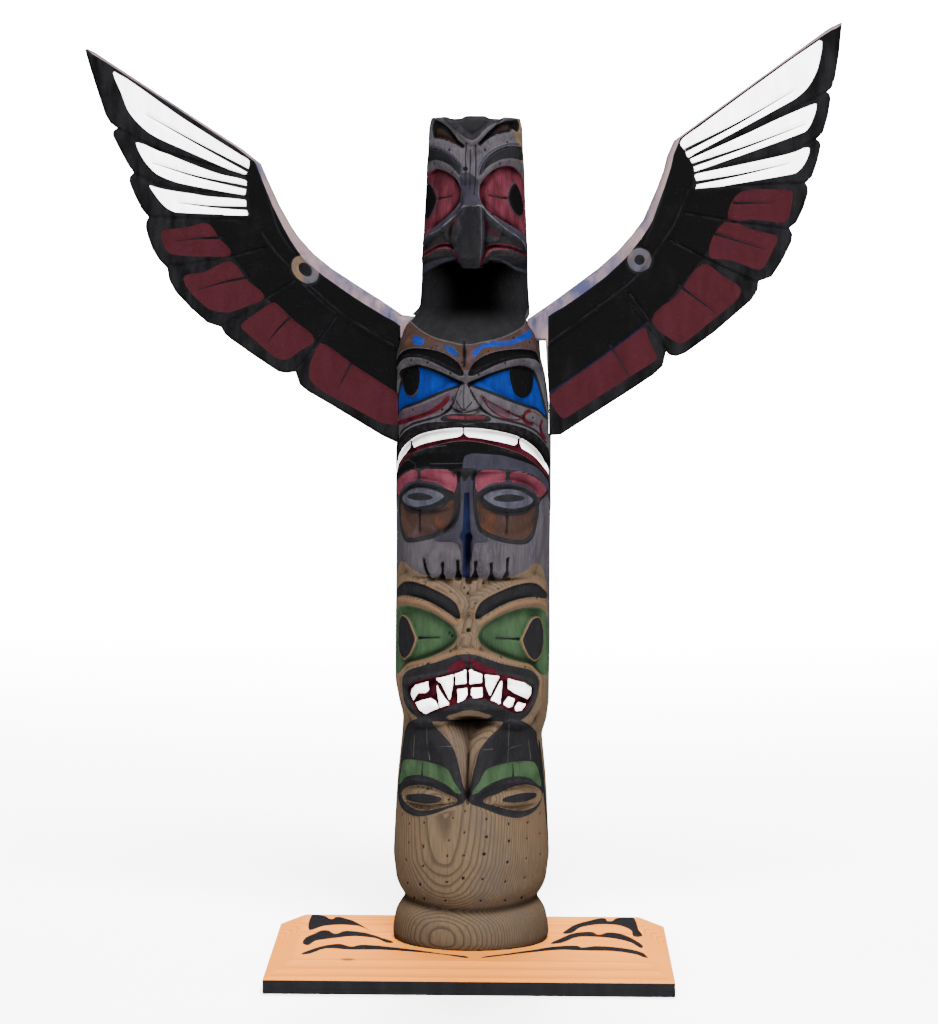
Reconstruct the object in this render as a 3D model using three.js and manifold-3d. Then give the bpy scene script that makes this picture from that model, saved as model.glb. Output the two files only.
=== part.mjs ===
// Carved totem pole on a bevelled board: four stacked figures under a long-necked bird
// whose two feathered wings are separate boards let into the pole's shoulders.
// Millimetres, +Z up, front towards -Y, origin at the centre of the board's underside.
import * as THREE from 'three';
import { ParametricGeometry } from 'three/addons/geometries/ParametricGeometry.js';
import { mergeVertices } from 'three/addons/utils/BufferGeometryUtils.js';
import Module from 'manifold-3d';

// Base board
const BASE_WIDTH = 258.5;
const BASE_DEPTH = 184;
const BASE_THICKNESS = 19;
const BEVEL_RUN = 17.8;
const BEVEL_DROP = 10;

// Pole
const POLE_TOP = 548.5;
const POLE_Y = 4;
const FACE_TURN = -2.5;
const LOG_RADIUS = 50;
const HEAD_RADIUS = 32;
const NECK_Z = 430;
const CARVING = 1.4;
const COLUMNS_FRONT = 42;
const COLUMNS_BACK = 18;

// Wings
const WING_SWEEP = 12;
const WING_FRONT_Y = -10;
const WING_ROOT_X = 48.5;
const WING_ROOT_THICKNESS = 28;
const WING_TIP_THICKNESS = 8;
const WING_TIP_X = 254;
const TONGUE_X = 34;
const FIT_GAP = 0.3;

// Pole stations: height, half width, sideways shift, front radius, back radius
const STATIONS = [
  [19.0, 49.4, 0, 49.4, 49.4],
  [22.0, 50.7, 0, 50.7, 50.7],
  [29.9, 50.0, 0, 50.0, 50.0],
  [37.8, 48.4, 0, 48.4, 48.4],
  [43.1, 45.2, 0, 45.2, 45.2],
  [48.3, 43.5, 0, 43.5, 43.5],
  [53.6, 46.8, 0, 46.6, 46.8],
  [58.8, 48.7, 0, 48.7, 48.7],
  [74.5, 50.6, 0, 50.6, 50.4],
  [90.0, 49.9, 0, 50.0, 49.8],
  [111.0, 48.9, 0, 48.6, 49.2],
  [127.0, 47.9, 0, 47.4, 49.0],
  [142.7, 46.3, 0, 46.2, 49.0],
  [153.0, 45.3, 0, 45.0, 49.0],
  [163.6, 46.6, 1.9, 43.5, 49.2],
  [168.0, 47.3, 1.6, 44.0, 49.4],
  [174.0, 48.5, 1.2, 48.5, 49.6],
  [187.0, 49.8, 0, 50.0, 49.8],
  [205.0, 50.0, 0, 49.6, 49.8],
  [216.0, 50.1, 0, 48.4, 49.8],
  [232.0, 49.9, 0, 47.6, 49.8],
  [244.0, 49.7, 0, 48.4, 49.8],
  [253.0, 49.7, 0, 47.6, 49.8],
  [257.0, 49.7, 0, 47.4, 49.8],
  [261.0, 49.7, 0, 49.4, 49.8],
  [278.0, 49.6, 0, 50.0, 49.8],
  [303.0, 49.9, 0, 50.0, 49.8],
  [322.0, 49.9, 0, 49.6, 49.8],
  [330.0, 49.9, 0, 48.6, 49.8],
  [350.0, 49.8, 0, 49.8, 49.8],
  [362.0, 49.7, -1.0, 49.2, 49.8],
  [373.0, 49.5, -2.0, 48.0, 49.8],
  [386.0, 48.3, -2.8, 48.0, 49.4],
  [396.5, 46.5, -3.8, 49.2, 48.4],
  [406.8, 45.6, -3.5, 49.0, 47.2],
  [412.0, 44.4, -3.8, 44.5, 45.6],
  [418.0, 41.7, -4.4, 37.5, 43.0],
  [423.0, 38.0, -2.6, 31.5, 40.0],
  [428.0, 35.4, 0, 27.5, 38.0],
  [437.6, 34.6, 0, 23.0, 36.6],
  [446.0, 34.2, 0, 22.5, 36.0],
  [451.0, 34.0, 0, 25.5, 35.8],
  [455.0, 34.0, 0, 35.5, 35.6],
  [460.0, 33.9, 0, 40.5, 35.4],
  [471.0, 33.6, 0, 42.0, 35.0],
  [485.0, 33.0, 0, 41.4, 34.6],
  [500.0, 32.2, 0, 39.6, 34.0],
  [514.0, 31.6, 0, 38.6, 33.4],
  [529.5, 30.4, 0, 37.8, 32.4],
  [543.0, 30.0, 0, 36.4, 31.4],
  [548.5, 28.4, 0, 34.0, 29.4],
];

// Heights between which the mesh rows are evenly spaced, with the number of rows
const ROW_RUNS = [
  [19, 24, 2],
  [24, 48, 4],
  [48, 58, 2],
  [58, 163, 12],
  [163, 175, 3],
  [175, 252, 10],
  [252, 262, 3],
  [262, 322, 7],
  [322, 362, 6],
  [362, 404, 6],
  [404, 424, 4],
  [424, 447, 3],
  [447, 465, 6],
  [465, 548.5, 10],
];

// Wing outlines as distance from the pole's middle and height, seen from the front
const LEFT_FEATHERS = [
  [48.5, 407], [48.5, 341], [58.7, 345.5], [93.1, 365.4], [110.1, 375.4], [115.3, 385.6], [126.4, 385.5],
  [142.1, 395.5], [157.9, 406.3], [164, 413.7], [173, 416.4], [184.2, 425.9], [194.1, 436.2],
  [199.6, 451.3], [204.9, 456.7], [212.6, 472.2], [213.3, 481.2], [212, 484.4], [216.6, 489.6],
  [224.8, 508.9], [221.9, 512.9], [225.8, 518.5], [235.7, 539.1], [232.7, 541.7], [239.7, 549.4],
  [248.9, 575.2], [254, 591.9],
];
const LEFT_TOP = [
  [252.9, 593.2], [247.6, 590.6], [199.4, 559.7], [151.5, 529], [139.1, 519.5], [131.9, 503.5],
  [121.4, 483.1], [114.9, 472.9], [105.8, 462.7], [93.4, 452.6], [61.7, 432.5], [53.3, 427],
  [46.8, 422.6], [34, 421],
];
const RIGHT_FEATHERS = [
  [45.6, 407], [48.3, 368], [48.5, 346.5], [55.9, 347], [102.7, 376.9], [118.1, 388.4],
  [123.8, 401.9], [127.7, 397.4], [136.1, 399.3], [154.8, 412.8], [178.7, 433.4],
  [182.6, 439.9], [183.2, 445.4], [191.6, 448.3], [198.7, 459.3], [205, 474.1],
  [203, 479.9], [208.8, 485.1], [214.5, 502.5], [213.1, 508.9], [218.9, 515.4],
  [222.8, 534], [219.9, 537.2], [225.7, 544.3], [228.7, 564.2], [226.4, 567.5],
  [231.2, 575.8], [235.3, 608.5],
];
const RIGHT_TOP = [
  [235.7, 612.7], [226.8, 608.4], [127.6, 535.7], [123.1, 525.4], [116.9, 505], [108.1, 484.5],
  [100.5, 474.3], [91.5, 464], [80.1, 453.8], [52.7, 433.3], [34, 420.2],
];
const TONGUE_BOTTOM = 407;

const lerp = THREE.MathUtils.lerp;
const clamp = THREE.MathUtils.clamp;
const smooth = THREE.MathUtils.smoothstep;

function station(z) {
  const last = STATIONS.length - 1;
  let i = 0;
  while (i < last - 1 && STATIONS[i + 1][0] < z) {
    i += 1;
  }
  const t = clamp((z - STATIONS[i][0]) / (STATIONS[i + 1][0] - STATIONS[i][0]), 0, 1);
  return STATIONS[i].map((value, k) => lerp(value, STATIONS[i + 1][k], t));
}

// One inside an ellipse and zero outside it, with a soft rim
function oval(s, z, cs, cz, rs, rz) {
  const r = Math.hypot((s - cs) / rs, (z - cz) / rz);
  return 1 - smooth(r, 0.8, 1.1);
}

// One along a polyline and zero away from it, with a soft rim
function ridge(s, z, points, halfWidth) {
  let best = Infinity;
  for (let i = 1; i < points.length; i += 1) {
    const [as, az] = points[i - 1];
    const [bs, bz] = points[i];
    const length2 = (bs - as) ** 2 + (bz - az) ** 2;
    const t = clamp(((s - as) * (bs - as) + (z - az) * (bz - az)) / length2, 0, 1);
    best = Math.min(best, Math.hypot(s - lerp(as, bs, t), z - lerp(az, bz, t)));
  }
  return 1 - smooth(best, halfWidth * 0.6, halfWidth * 1.35);
}

const BROW_2 = [[4, 388], [14, 394], [28, 399], [44, 399.5], [60, 392]];
const BROW_3 = [[6, 236], [14, 241.5], [28, 248], [44, 249], [60, 244]];
const LIP_2 = [[0, 357], [27, 355], [48, 347.5], [62, 336]];
const TEETH_2 = [[0, 350], [24, 347.5], [46, 340], [66, 326]];
const CHIN_2 = [[0, 333], [30, 332], [60, 318]];
const LIP_3 = [[0, 206], [12, 203], [34, 197], [50, 190], [47, 176], [36, 169], [14, 174], [0, 176]];
const FLUKE_4 = [[4, 128], [10, 148], [26, 162], [46, 156], [54, 136]];
const HEAD_BROW = [[5, 514], [9, 521], [18, 526], [36, 527]];
const HEAD_EAR = [[2, 534], [10, 541], [20, 546], [36, 546]];
const HEAD_JAW = [[10, 462], [20, 463], [44, 457]];

// Rise of the jaw's lower edge beside the beak, and its fall towards the sides
function jawArch(s) {
  return 5 * smooth(s, 6.5, 12) - 6 * smooth(s, 14, 42);
}

// Carved relief of the four body figures, by arc length from the face's middle and height
function bodyRelief(arc, z) {
  const s = Math.abs(arc);
  let depth = 0;
  // Upper figure: brows, eyes, lips, bared teeth and chin
  depth += 2.0 * ridge(s, z, BROW_2, 4);
  depth -= 1.8 * oval(s, z, 34, 377, 28, 13);
  depth += 1.6 * oval(s, z, 42, 381, 9, 9);
  depth += 1.6 * ridge(s, z, LIP_2, 5);
  depth -= 1.0 * ridge(s, z, TEETH_2, 3.5);
  depth += 1.2 * ridge(s, z, CHIN_2, 6);
  depth += 1.0 * oval(s, z, 0, 372, 7, 9);
  // Hands with an ovoid on the back of each and claws below
  depth += 1.6 * oval(s, z, 28, 292, 30, 38) * smooth(z, 258, 264);
  depth -= 1.2 * oval(s, z, 28, 300, 20, 15);
  depth -= 2.0 * ridge(s, z, [[0, 258], [0, 282]], 2.5);
  // Bear-like figure: brows, eyes and snarling mouth
  depth += 2.2 * ridge(s, z, BROW_3, 5);
  depth -= 2.0 * oval(s, z, 38, 216, 32, 19);
  depth += 1.8 * oval(s, z, 47, 217, 9, 13);
  depth += 2.4 * ridge(s, z, LIP_3, 6);
  depth += 1.2 * oval(s, z, 0, 186, 46, 13);
  // Lowest figure: tail flukes above long eyes, with a valley between
  depth += 1.4 * ridge(s, z, FLUKE_4, 9);
  depth -= 1.4 * oval(s, z, 31, 116, 29, 11);
  depth += 1.4 * oval(s, z, 31, 116, 15, 4.5);
  depth -= 2.4 * (1 - smooth(s, 1, 4 + (z - 116) * 0.3)) * smooth(z, 112, 120) * (1 - smooth(z, 166, 172));
  return depth;
}

// Carved relief of the bird's head
function headRelief(arc, z) {
  const s = Math.abs(arc);
  let depth = 0;
  depth += 1.6 * ridge(s, z, HEAD_EAR, 3.5);
  depth += 1.8 * ridge(s, z, HEAD_BROW, 4);
  depth -= 1.6 * oval(s, z, 30, 498, 25, 19);
  depth += 1.4 * oval(s, z, 33, 498, 8, 10);
  depth += 1.6 * ridge(s, z, HEAD_JAW, 4);
  const beakWidth = lerp(5, 6.6, 1 - smooth(z, 456, 492));
  const beak = 1 - smooth(s, beakWidth * 0.9, beakWidth * 1.4);
  depth += beak * lerp(1.5, 6.5, 1 - smooth(z, 460, 505)) * (1 - smooth(z, 500, 520)) * smooth(z, 448, 455);
  return depth;
}

const rows = ROW_RUNS.flatMap(([from, to, count]) => (
  Array.from({ length: count }, (_, i) => lerp(from, to, i / count))
)).concat(POLE_TOP);

// Column directions, closer together on the carved front
const columns = Array.from({ length: COLUMNS_FRONT }, (_, i) => lerp(-96, 96, i / COLUMNS_FRONT))
  .concat(Array.from({ length: COLUMNS_BACK + 1 }, (_, i) => lerp(96, 264, i / COLUMNS_BACK)));

// The log's outer face at column u and row v, both from 0 to 1, with both ends drawn in to a point
function poleSurface(u, v, target) {
  const column = Math.round(u * (columns.length - 1));
  const row = Math.round(v * (rows.length + 1)) - 1;
  const z = rows[clamp(row, 0, rows.length - 1)];
  const closed = row < 0 || row > rows.length - 1;
  const angle = THREE.MathUtils.degToRad(columns[column]);
  const [, half, shift, , back] = station(z);
  const facing = Math.cos(angle);
  const wrapped = Math.atan2(Math.sin(angle), facing) - THREE.MathUtils.degToRad(FACE_TURN);
  const neck = smooth(z, NECK_Z, 446) * (1 - smooth(z, 466, 474));
  const front = station(z - neck * jawArch(Math.abs(HEAD_RADIUS * wrapped)))[3];
  const square = lerp(1, 0.87, smooth(z, 452, 470));
  const across = Math.sign(Math.sin(angle)) * Math.abs(Math.sin(angle)) ** square;
  const ahead = Math.sign(facing) * Math.abs(facing) ** square;
  const onFace = smooth(facing, -0.15, 0.2);
  const carved = z > NECK_Z ? headRelief(HEAD_RADIUS * wrapped, z) : bodyRelief(LOG_RADIUS * wrapped, z);
  const relief = CARVING * onFace * carved;
  const depth = facing > 0 ? front : back;
  const keep = closed ? 0 : 1;
  const x = shift + keep * (half + relief * Math.abs(across) * 0.3) * across;
  const y = POLE_Y - keep * (depth + relief) * ahead;
  const crown = z === POLE_TOP && !closed ? -3 * oval(Math.abs(x), 0, 11, 0, 6, 1) : 0;
  target.set(x, y, z + crown);
}

// Merge a geometry's shared corners so that only positions are left
function welded(geometry) {
  geometry.deleteAttribute('normal');
  geometry.deleteAttribute('uv');
  const merged = mergeVertices(geometry, 1e-4);
  const index = merged.index.array;
  const kept = [];
  for (let i = 0; i < index.length; i += 3) {
    const [a, b, c] = [index[i], index[i + 1], index[i + 2]];
    if (a !== b && b !== c && c !== a) {
      kept.push(a, b, c);
    }
  }
  merged.setIndex(kept);
  return merged;
}

function flipped(geometry) {
  const index = geometry.index.array.slice();
  for (let i = 0; i < index.length; i += 3) {
    [index[i], index[i + 1]] = [index[i + 1], index[i]];
  }
  geometry.setIndex(Array.from(index));
  return geometry;
}

function wood(color, roughness) {
  return new THREE.MeshStandardMaterial({ color, roughness, metalness: 0 });
}

// Board with a low bevel around its top
function baseGeometry() {
  const halfWidth = BASE_WIDTH / 2;
  const halfDepth = BASE_DEPTH / 2;
  const rings = [
    [halfWidth, halfDepth, 0],
    [halfWidth, halfDepth, BASE_THICKNESS - BEVEL_DROP],
    [halfWidth - BEVEL_RUN, halfDepth - BEVEL_RUN, BASE_THICKNESS],
  ];
  const positions = rings.flatMap(([w, d, z]) => [-w, -d, z, w, -d, z, w, d, z, -w, d, z]);
  const index = [0, 2, 1, 0, 3, 2, 8, 9, 10, 8, 10, 11];
  for (let ring = 0; ring < 2; ring += 1) {
    for (let side = 0; side < 4; side += 1) {
      const a = ring * 4 + side;
      const b = ring * 4 + ((side + 1) % 4);
      index.push(a, b, b + 4, a, b + 4, a + 4);
    }
  }
  const geometry = new THREE.BufferGeometry();
  geometry.setAttribute('position', new THREE.Float32BufferAttribute(positions, 3));
  geometry.setIndex(index);
  return geometry;
}

// Wing board: the outline is given depth, then swept back and thinned towards its tip
function wingGeometry(feathers, top, side) {
  const outline = [
    ...feathers,
    ...top,
    [TONGUE_X, TONGUE_BOTTOM],
  ];
  const shape = new THREE.Shape(outline.map(([x, z]) => new THREE.Vector2(x, z)));
  const board = new THREE.ExtrudeGeometry(shape, { depth: 1, bevelEnabled: false });
  const sweep = Math.tan(THREE.MathUtils.degToRad(WING_SWEEP));
  const position = board.attributes.position;
  for (let i = 0; i < position.count; i += 1) {
    const x = position.getX(i);
    const out = Math.max(x - WING_ROOT_X, 0);
    const t = out / (WING_TIP_X - WING_ROOT_X);
    const thickness = lerp(WING_ROOT_THICKNESS, WING_TIP_THICKNESS, t);
    const y = WING_FRONT_Y + out * sweep + position.getZ(i) * thickness;
    position.setXYZ(i, side * x, y, position.getY(i));
  }
  const geometry = welded(board);
  return side > 0 ? flipped(geometry) : geometry;
}

const wasm = await Module();
wasm.setup();

function toSolid(geometry) {
  return new wasm.Manifold(new wasm.Mesh({
    numProp: 3,
    vertProperties: new Float32Array(geometry.attributes.position.array),
    triVerts: new Uint32Array(geometry.index.array),
  }));
}

function toGeometry(solid) {
  const mesh = solid.getMesh();
  const geometry = new THREE.BufferGeometry();
  geometry.setAttribute('position', new THREE.BufferAttribute(mesh.vertProperties, 3));
  geometry.setIndex(new THREE.BufferAttribute(mesh.triVerts, 1));
  return geometry;
}

// Block that clears a seat in the pole's side, from its outline as distance and height
function seatBlock(side, outline) {
  const shape = new THREE.Shape(outline.map(([x, z]) => new THREE.Vector2(x, z)));
  const depth = WING_ROOT_THICKNESS + 2 * FIT_GAP;
  const block = new THREE.ExtrudeGeometry(shape, { depth, bevelEnabled: false });
  const position = block.attributes.position;
  for (let i = 0; i < position.count; i += 1) {
    const y = WING_FRONT_Y - FIT_GAP + position.getZ(i);
    position.setXYZ(i, side * position.getX(i), y, position.getY(i));
  }
  const geometry = welded(block);
  return toSolid(side > 0 ? flipped(geometry) : geometry);
}

function poleGeometry() {
  const slices = columns.length - 1;
  const stacks = rows.length + 1;
  const skin = new ParametricGeometry(poleSurface, slices, stacks);
  let solid = toSolid(welded(skin));
  if (solid.volume() < 0) {
    solid = toSolid(flipped(welded(new ParametricGeometry(poleSurface, slices, stacks))));
  }
  for (const [side, feathers, top] of [[-1, LEFT_FEATHERS, LEFT_TOP], [1, RIGHT_FEATHERS, RIGHT_TOP]]) {
    const low = feathers.find(([x, z]) => x === WING_ROOT_X && z < TONGUE_BOTTOM)[1] - FIT_GAP;
    const flat = WING_ROOT_X - FIT_GAP;
    const floor = TONGUE_BOTTOM - FIT_GAP;
    const rising = top.filter(([x]) => x < 62).map(([x, z]) => [x - FIT_GAP, z + 2 * FIT_GAP]);
    solid = solid.subtract(seatBlock(side, [[60, low], [flat, low], [flat, floor + 1], [60, floor + 1]]));
    solid = solid.subtract(seatBlock(side, [
      [62, floor],
      [62, rising[0][1] + 8],
      ...rising,
      [TONGUE_X - FIT_GAP, floor],
    ]));
  }
  return toGeometry(solid);
}

const totem = new THREE.Group();

function piece(name, geometry, material) {
  const mesh = new THREE.Mesh(geometry, material);
  mesh.name = name;
  totem.add(mesh);
}

piece('base', baseGeometry(), wood(0xebb98c, 0.6));
piece('pole', poleGeometry(), wood(0x8c7662, 0.65));
piece('wing_left', wingGeometry(LEFT_FEATHERS, LEFT_TOP, -1), wood(0x1b1a1c, 0.6));
piece('wing_right', wingGeometry(RIGHT_FEATHERS, RIGHT_TOP, 1), wood(0x1b1a1c, 0.6));

export default totem;
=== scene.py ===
import math

import bmesh
import bpy
import numpy as np
from bpy.props import FloatProperty, FloatVectorProperty, IntProperty, PointerProperty
from mathutils import Matrix, Vector


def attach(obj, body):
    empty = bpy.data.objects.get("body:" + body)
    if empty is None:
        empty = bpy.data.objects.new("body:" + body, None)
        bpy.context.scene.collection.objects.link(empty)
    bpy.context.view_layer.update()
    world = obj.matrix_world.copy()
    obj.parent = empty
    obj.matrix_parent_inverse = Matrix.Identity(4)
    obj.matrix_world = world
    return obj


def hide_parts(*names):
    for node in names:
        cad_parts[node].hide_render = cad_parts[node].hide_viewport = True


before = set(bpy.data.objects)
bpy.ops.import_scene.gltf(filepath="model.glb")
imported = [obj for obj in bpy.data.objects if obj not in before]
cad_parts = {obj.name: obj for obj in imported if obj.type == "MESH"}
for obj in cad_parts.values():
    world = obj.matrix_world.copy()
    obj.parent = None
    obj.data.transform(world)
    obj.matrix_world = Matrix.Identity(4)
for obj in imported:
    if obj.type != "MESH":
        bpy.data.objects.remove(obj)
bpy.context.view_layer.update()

bl_info = {
    "name": "Carved totem pole",
    "version": (1, 0, 0),
    "blender": (4, 5, 0),
    "location": "3D View > Sidebar > Totem",
    "description": "Builds a painted, carved totem pole with feathered wings on a bevelled board",
    "category": "Object",
}

# Lengths are in mm, and become metres where they reach a mesh; only the lamps are in metres
MM = 0.001
# Distance from a mark past which its paint field is no longer followed
FAR = 9.0
# How far a paint runs on under the edge of the paint that covers it
UNDERLAP = 0.35

LOG_RADIUS = 50.0
HEAD_RADIUS = 32.0
FOOT_Z = 19.0
NECK_Z = 430.0
HEAD_MARKS_Z = 448
POLE_Y = 4.0
POLE_TOP = 548.5
# The body's marks are placed as seen on a plain round log from this point in front
SIGHT = (26.4, -2383.9, 490.6)
SIGHT_LOG = (-0.5, 4.0)

# The log's mesh: columns over the plain back, rows that close the crown and the sole
FRONT_HALF_ANGLE = 100
BACK_COLUMNS = 26
CROWN_ROWS = 9
SOLE_ROWS = 3
CROWN_RISE = 1.8
EAR_X = 12.2
# The wings' seats in the log's sides: their lowest points, left and right, and their gap
SEAT_LOW = (340.7, 346.2)
SEAT_GAP = 0.3
# The notches beside the neck that take the wings' inner ends
TONGUE_X = 33.6
TONGUE_LOW = 406.7
# Spacing of the board's mesh and the wings' mesh
BOARD_STEP = 1.2
WING_STEP = 1.25
BOARD_SOLE_INSET = 0.4
WING_FACE_SET_BACK = 1.2
DOT_RADIUS = 0.85
DOT_DEPTH = 0.9

CAMERA_TARGET = (-2.785, 0, 296.32)
SENSOR_WIDTH = 36
WORLD_STRENGTH = 0.4
# Name, place, target and width in metres, and power in watts
LAMPS = (
    ("key softbox", (0.25, -1.9, 2.6), (0, 0, 0.35), 1.3, 690),
    ("fill softbox", (-0.2, -3.0, 0.7), (0, 0, 0.3), 1.6, 55),
    ("back softbox", (0.0, 1.7, 2.4), (0, 1.8, 0.0), 1.6, 520),
    ("left backdrop lamp", (-1.6, 2.7, 2.4), (-0.4, 6.0, 0.6), 1.6, 1500),
    ("right backdrop lamp", (1.6, 2.7, 2.4), (0.4, 6.0, 0.6), 1.6, 1500),
)

# ---------------------------------------------------------------- pole profile

# Height, half width, sideways shift, front radius and back radius of the log
STATIONS = np.array([
    (19.0, 49.4, 0, 49.4, 49.4), (22.0, 50.7, 0, 50.7, 50.7), (29.9, 50.0, 0, 50.0, 50.0),
    (37.8, 48.4, 0, 48.4, 48.4), (42.0, 45.8, 0, 45.8, 45.8), (44.6, 44.2, 0, 44.2, 44.2),
    (46.4, 42.2, 0, 42.2, 42.2), (48.0, 43.3, 0, 43.3, 43.3), (50.2, 44.6, 0, 44.6, 44.6),
    (53.6, 46.8, 0, 46.6, 46.8), (58.8, 48.7, 0, 48.7, 48.7), (74.5, 50.6, 0, 50.6, 50.4),
    (90.0, 49.9, 0, 50.0, 49.8), (111.0, 48.9, 0, 48.6, 49.2), (127.0, 47.9, 0, 47.4, 49.0),
    (142.7, 46.3, 0, 46.2, 49.0), (153.0, 45.3, 0, 45.0, 49.0), (163.6, 46.6, 1.9, 43.5, 49.2),
    (168.0, 47.3, 1.6, 44.0, 49.4), (174.0, 48.5, 1.2, 48.5, 49.6), (187.0, 49.8, 0, 50.0, 49.8),
    (205.0, 50.0, 0, 49.6, 49.8), (216.0, 50.1, 0, 48.4, 49.8), (232.0, 49.9, 0, 47.6, 49.8),
    (244.0, 49.7, 0, 48.4, 49.8), (253.0, 49.7, 0, 47.6, 49.8), (257.0, 49.7, 0, 47.4, 49.8),
    (261.0, 49.7, 0, 49.4, 49.8), (278.0, 49.6, 0, 50.0, 49.8), (303.0, 49.9, 0, 50.0, 49.8),
    (322.0, 49.9, 0, 49.6, 49.8), (330.0, 49.9, 0, 48.6, 49.8), (350.0, 49.8, 0, 49.8, 49.8),
    (362.0, 49.7, -1.0, 49.2, 49.8), (373.0, 49.5, -2.0, 48.0, 49.8),
    (386.0, 48.3, -2.8, 48.0, 49.4), (396.5, 46.5, -3.8, 49.2, 48.4),
    (406.8, 45.6, -3.5, 49.0, 47.2), (412.0, 44.4, -3.8, 44.5, 45.6),
    (418.0, 41.7, -4.4, 37.5, 43.0), (423.0, 38.0, -2.6, 31.5, 40.0),
    (428.0, 35.4, 0, 27.5, 38.0), (437.6, 34.6, 0, 23.0, 36.6), (446.0, 34.2, 0, 22.5, 36.0),
    (451.0, 34.0, 0, 25.5, 35.8), (455.0, 34.0, 0, 35.5, 35.6), (460.0, 33.9, 0, 40.5, 35.4),
    (471.0, 33.6, 0, 42.0, 35.0), (485.0, 33.0, 0, 41.4, 34.6), (500.0, 32.2, 0, 39.6, 34.0),
    (514.0, 31.6, 0, 38.6, 33.4), (529.5, 30.4, 0, 37.8, 32.4), (543.0, 30.0, 0, 36.4, 31.4),
    (548.5, 28.4, 0, 34.0, 29.4),
])

# ------------------------------------------------------------ marks on the pole
# Each mark is (kind, paint, side, carved depth, soft rim or half width, points). A point is the
# distance round the log from the middle of the face, and the height. A "fill" is an area, a "tooth"
# an area with straighter sides and a raised middle, a "line" keeps its width and a "taper" thins
# towards its end. "pair" marks are mirrored, "left" and "right" marks count outwards on one side,
# and "whole" marks are placed as they are. Later marks cover earlier ones. The paint "wood" leaves
# the wood bare. A dot is its place and height, and its radius where it isn't the usual one.

NECK_MARKS = [("fill", "black", "pair", 0, 1, [(-12, 410), (120, 410), (120, 450), (-12, 450)])]

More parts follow.
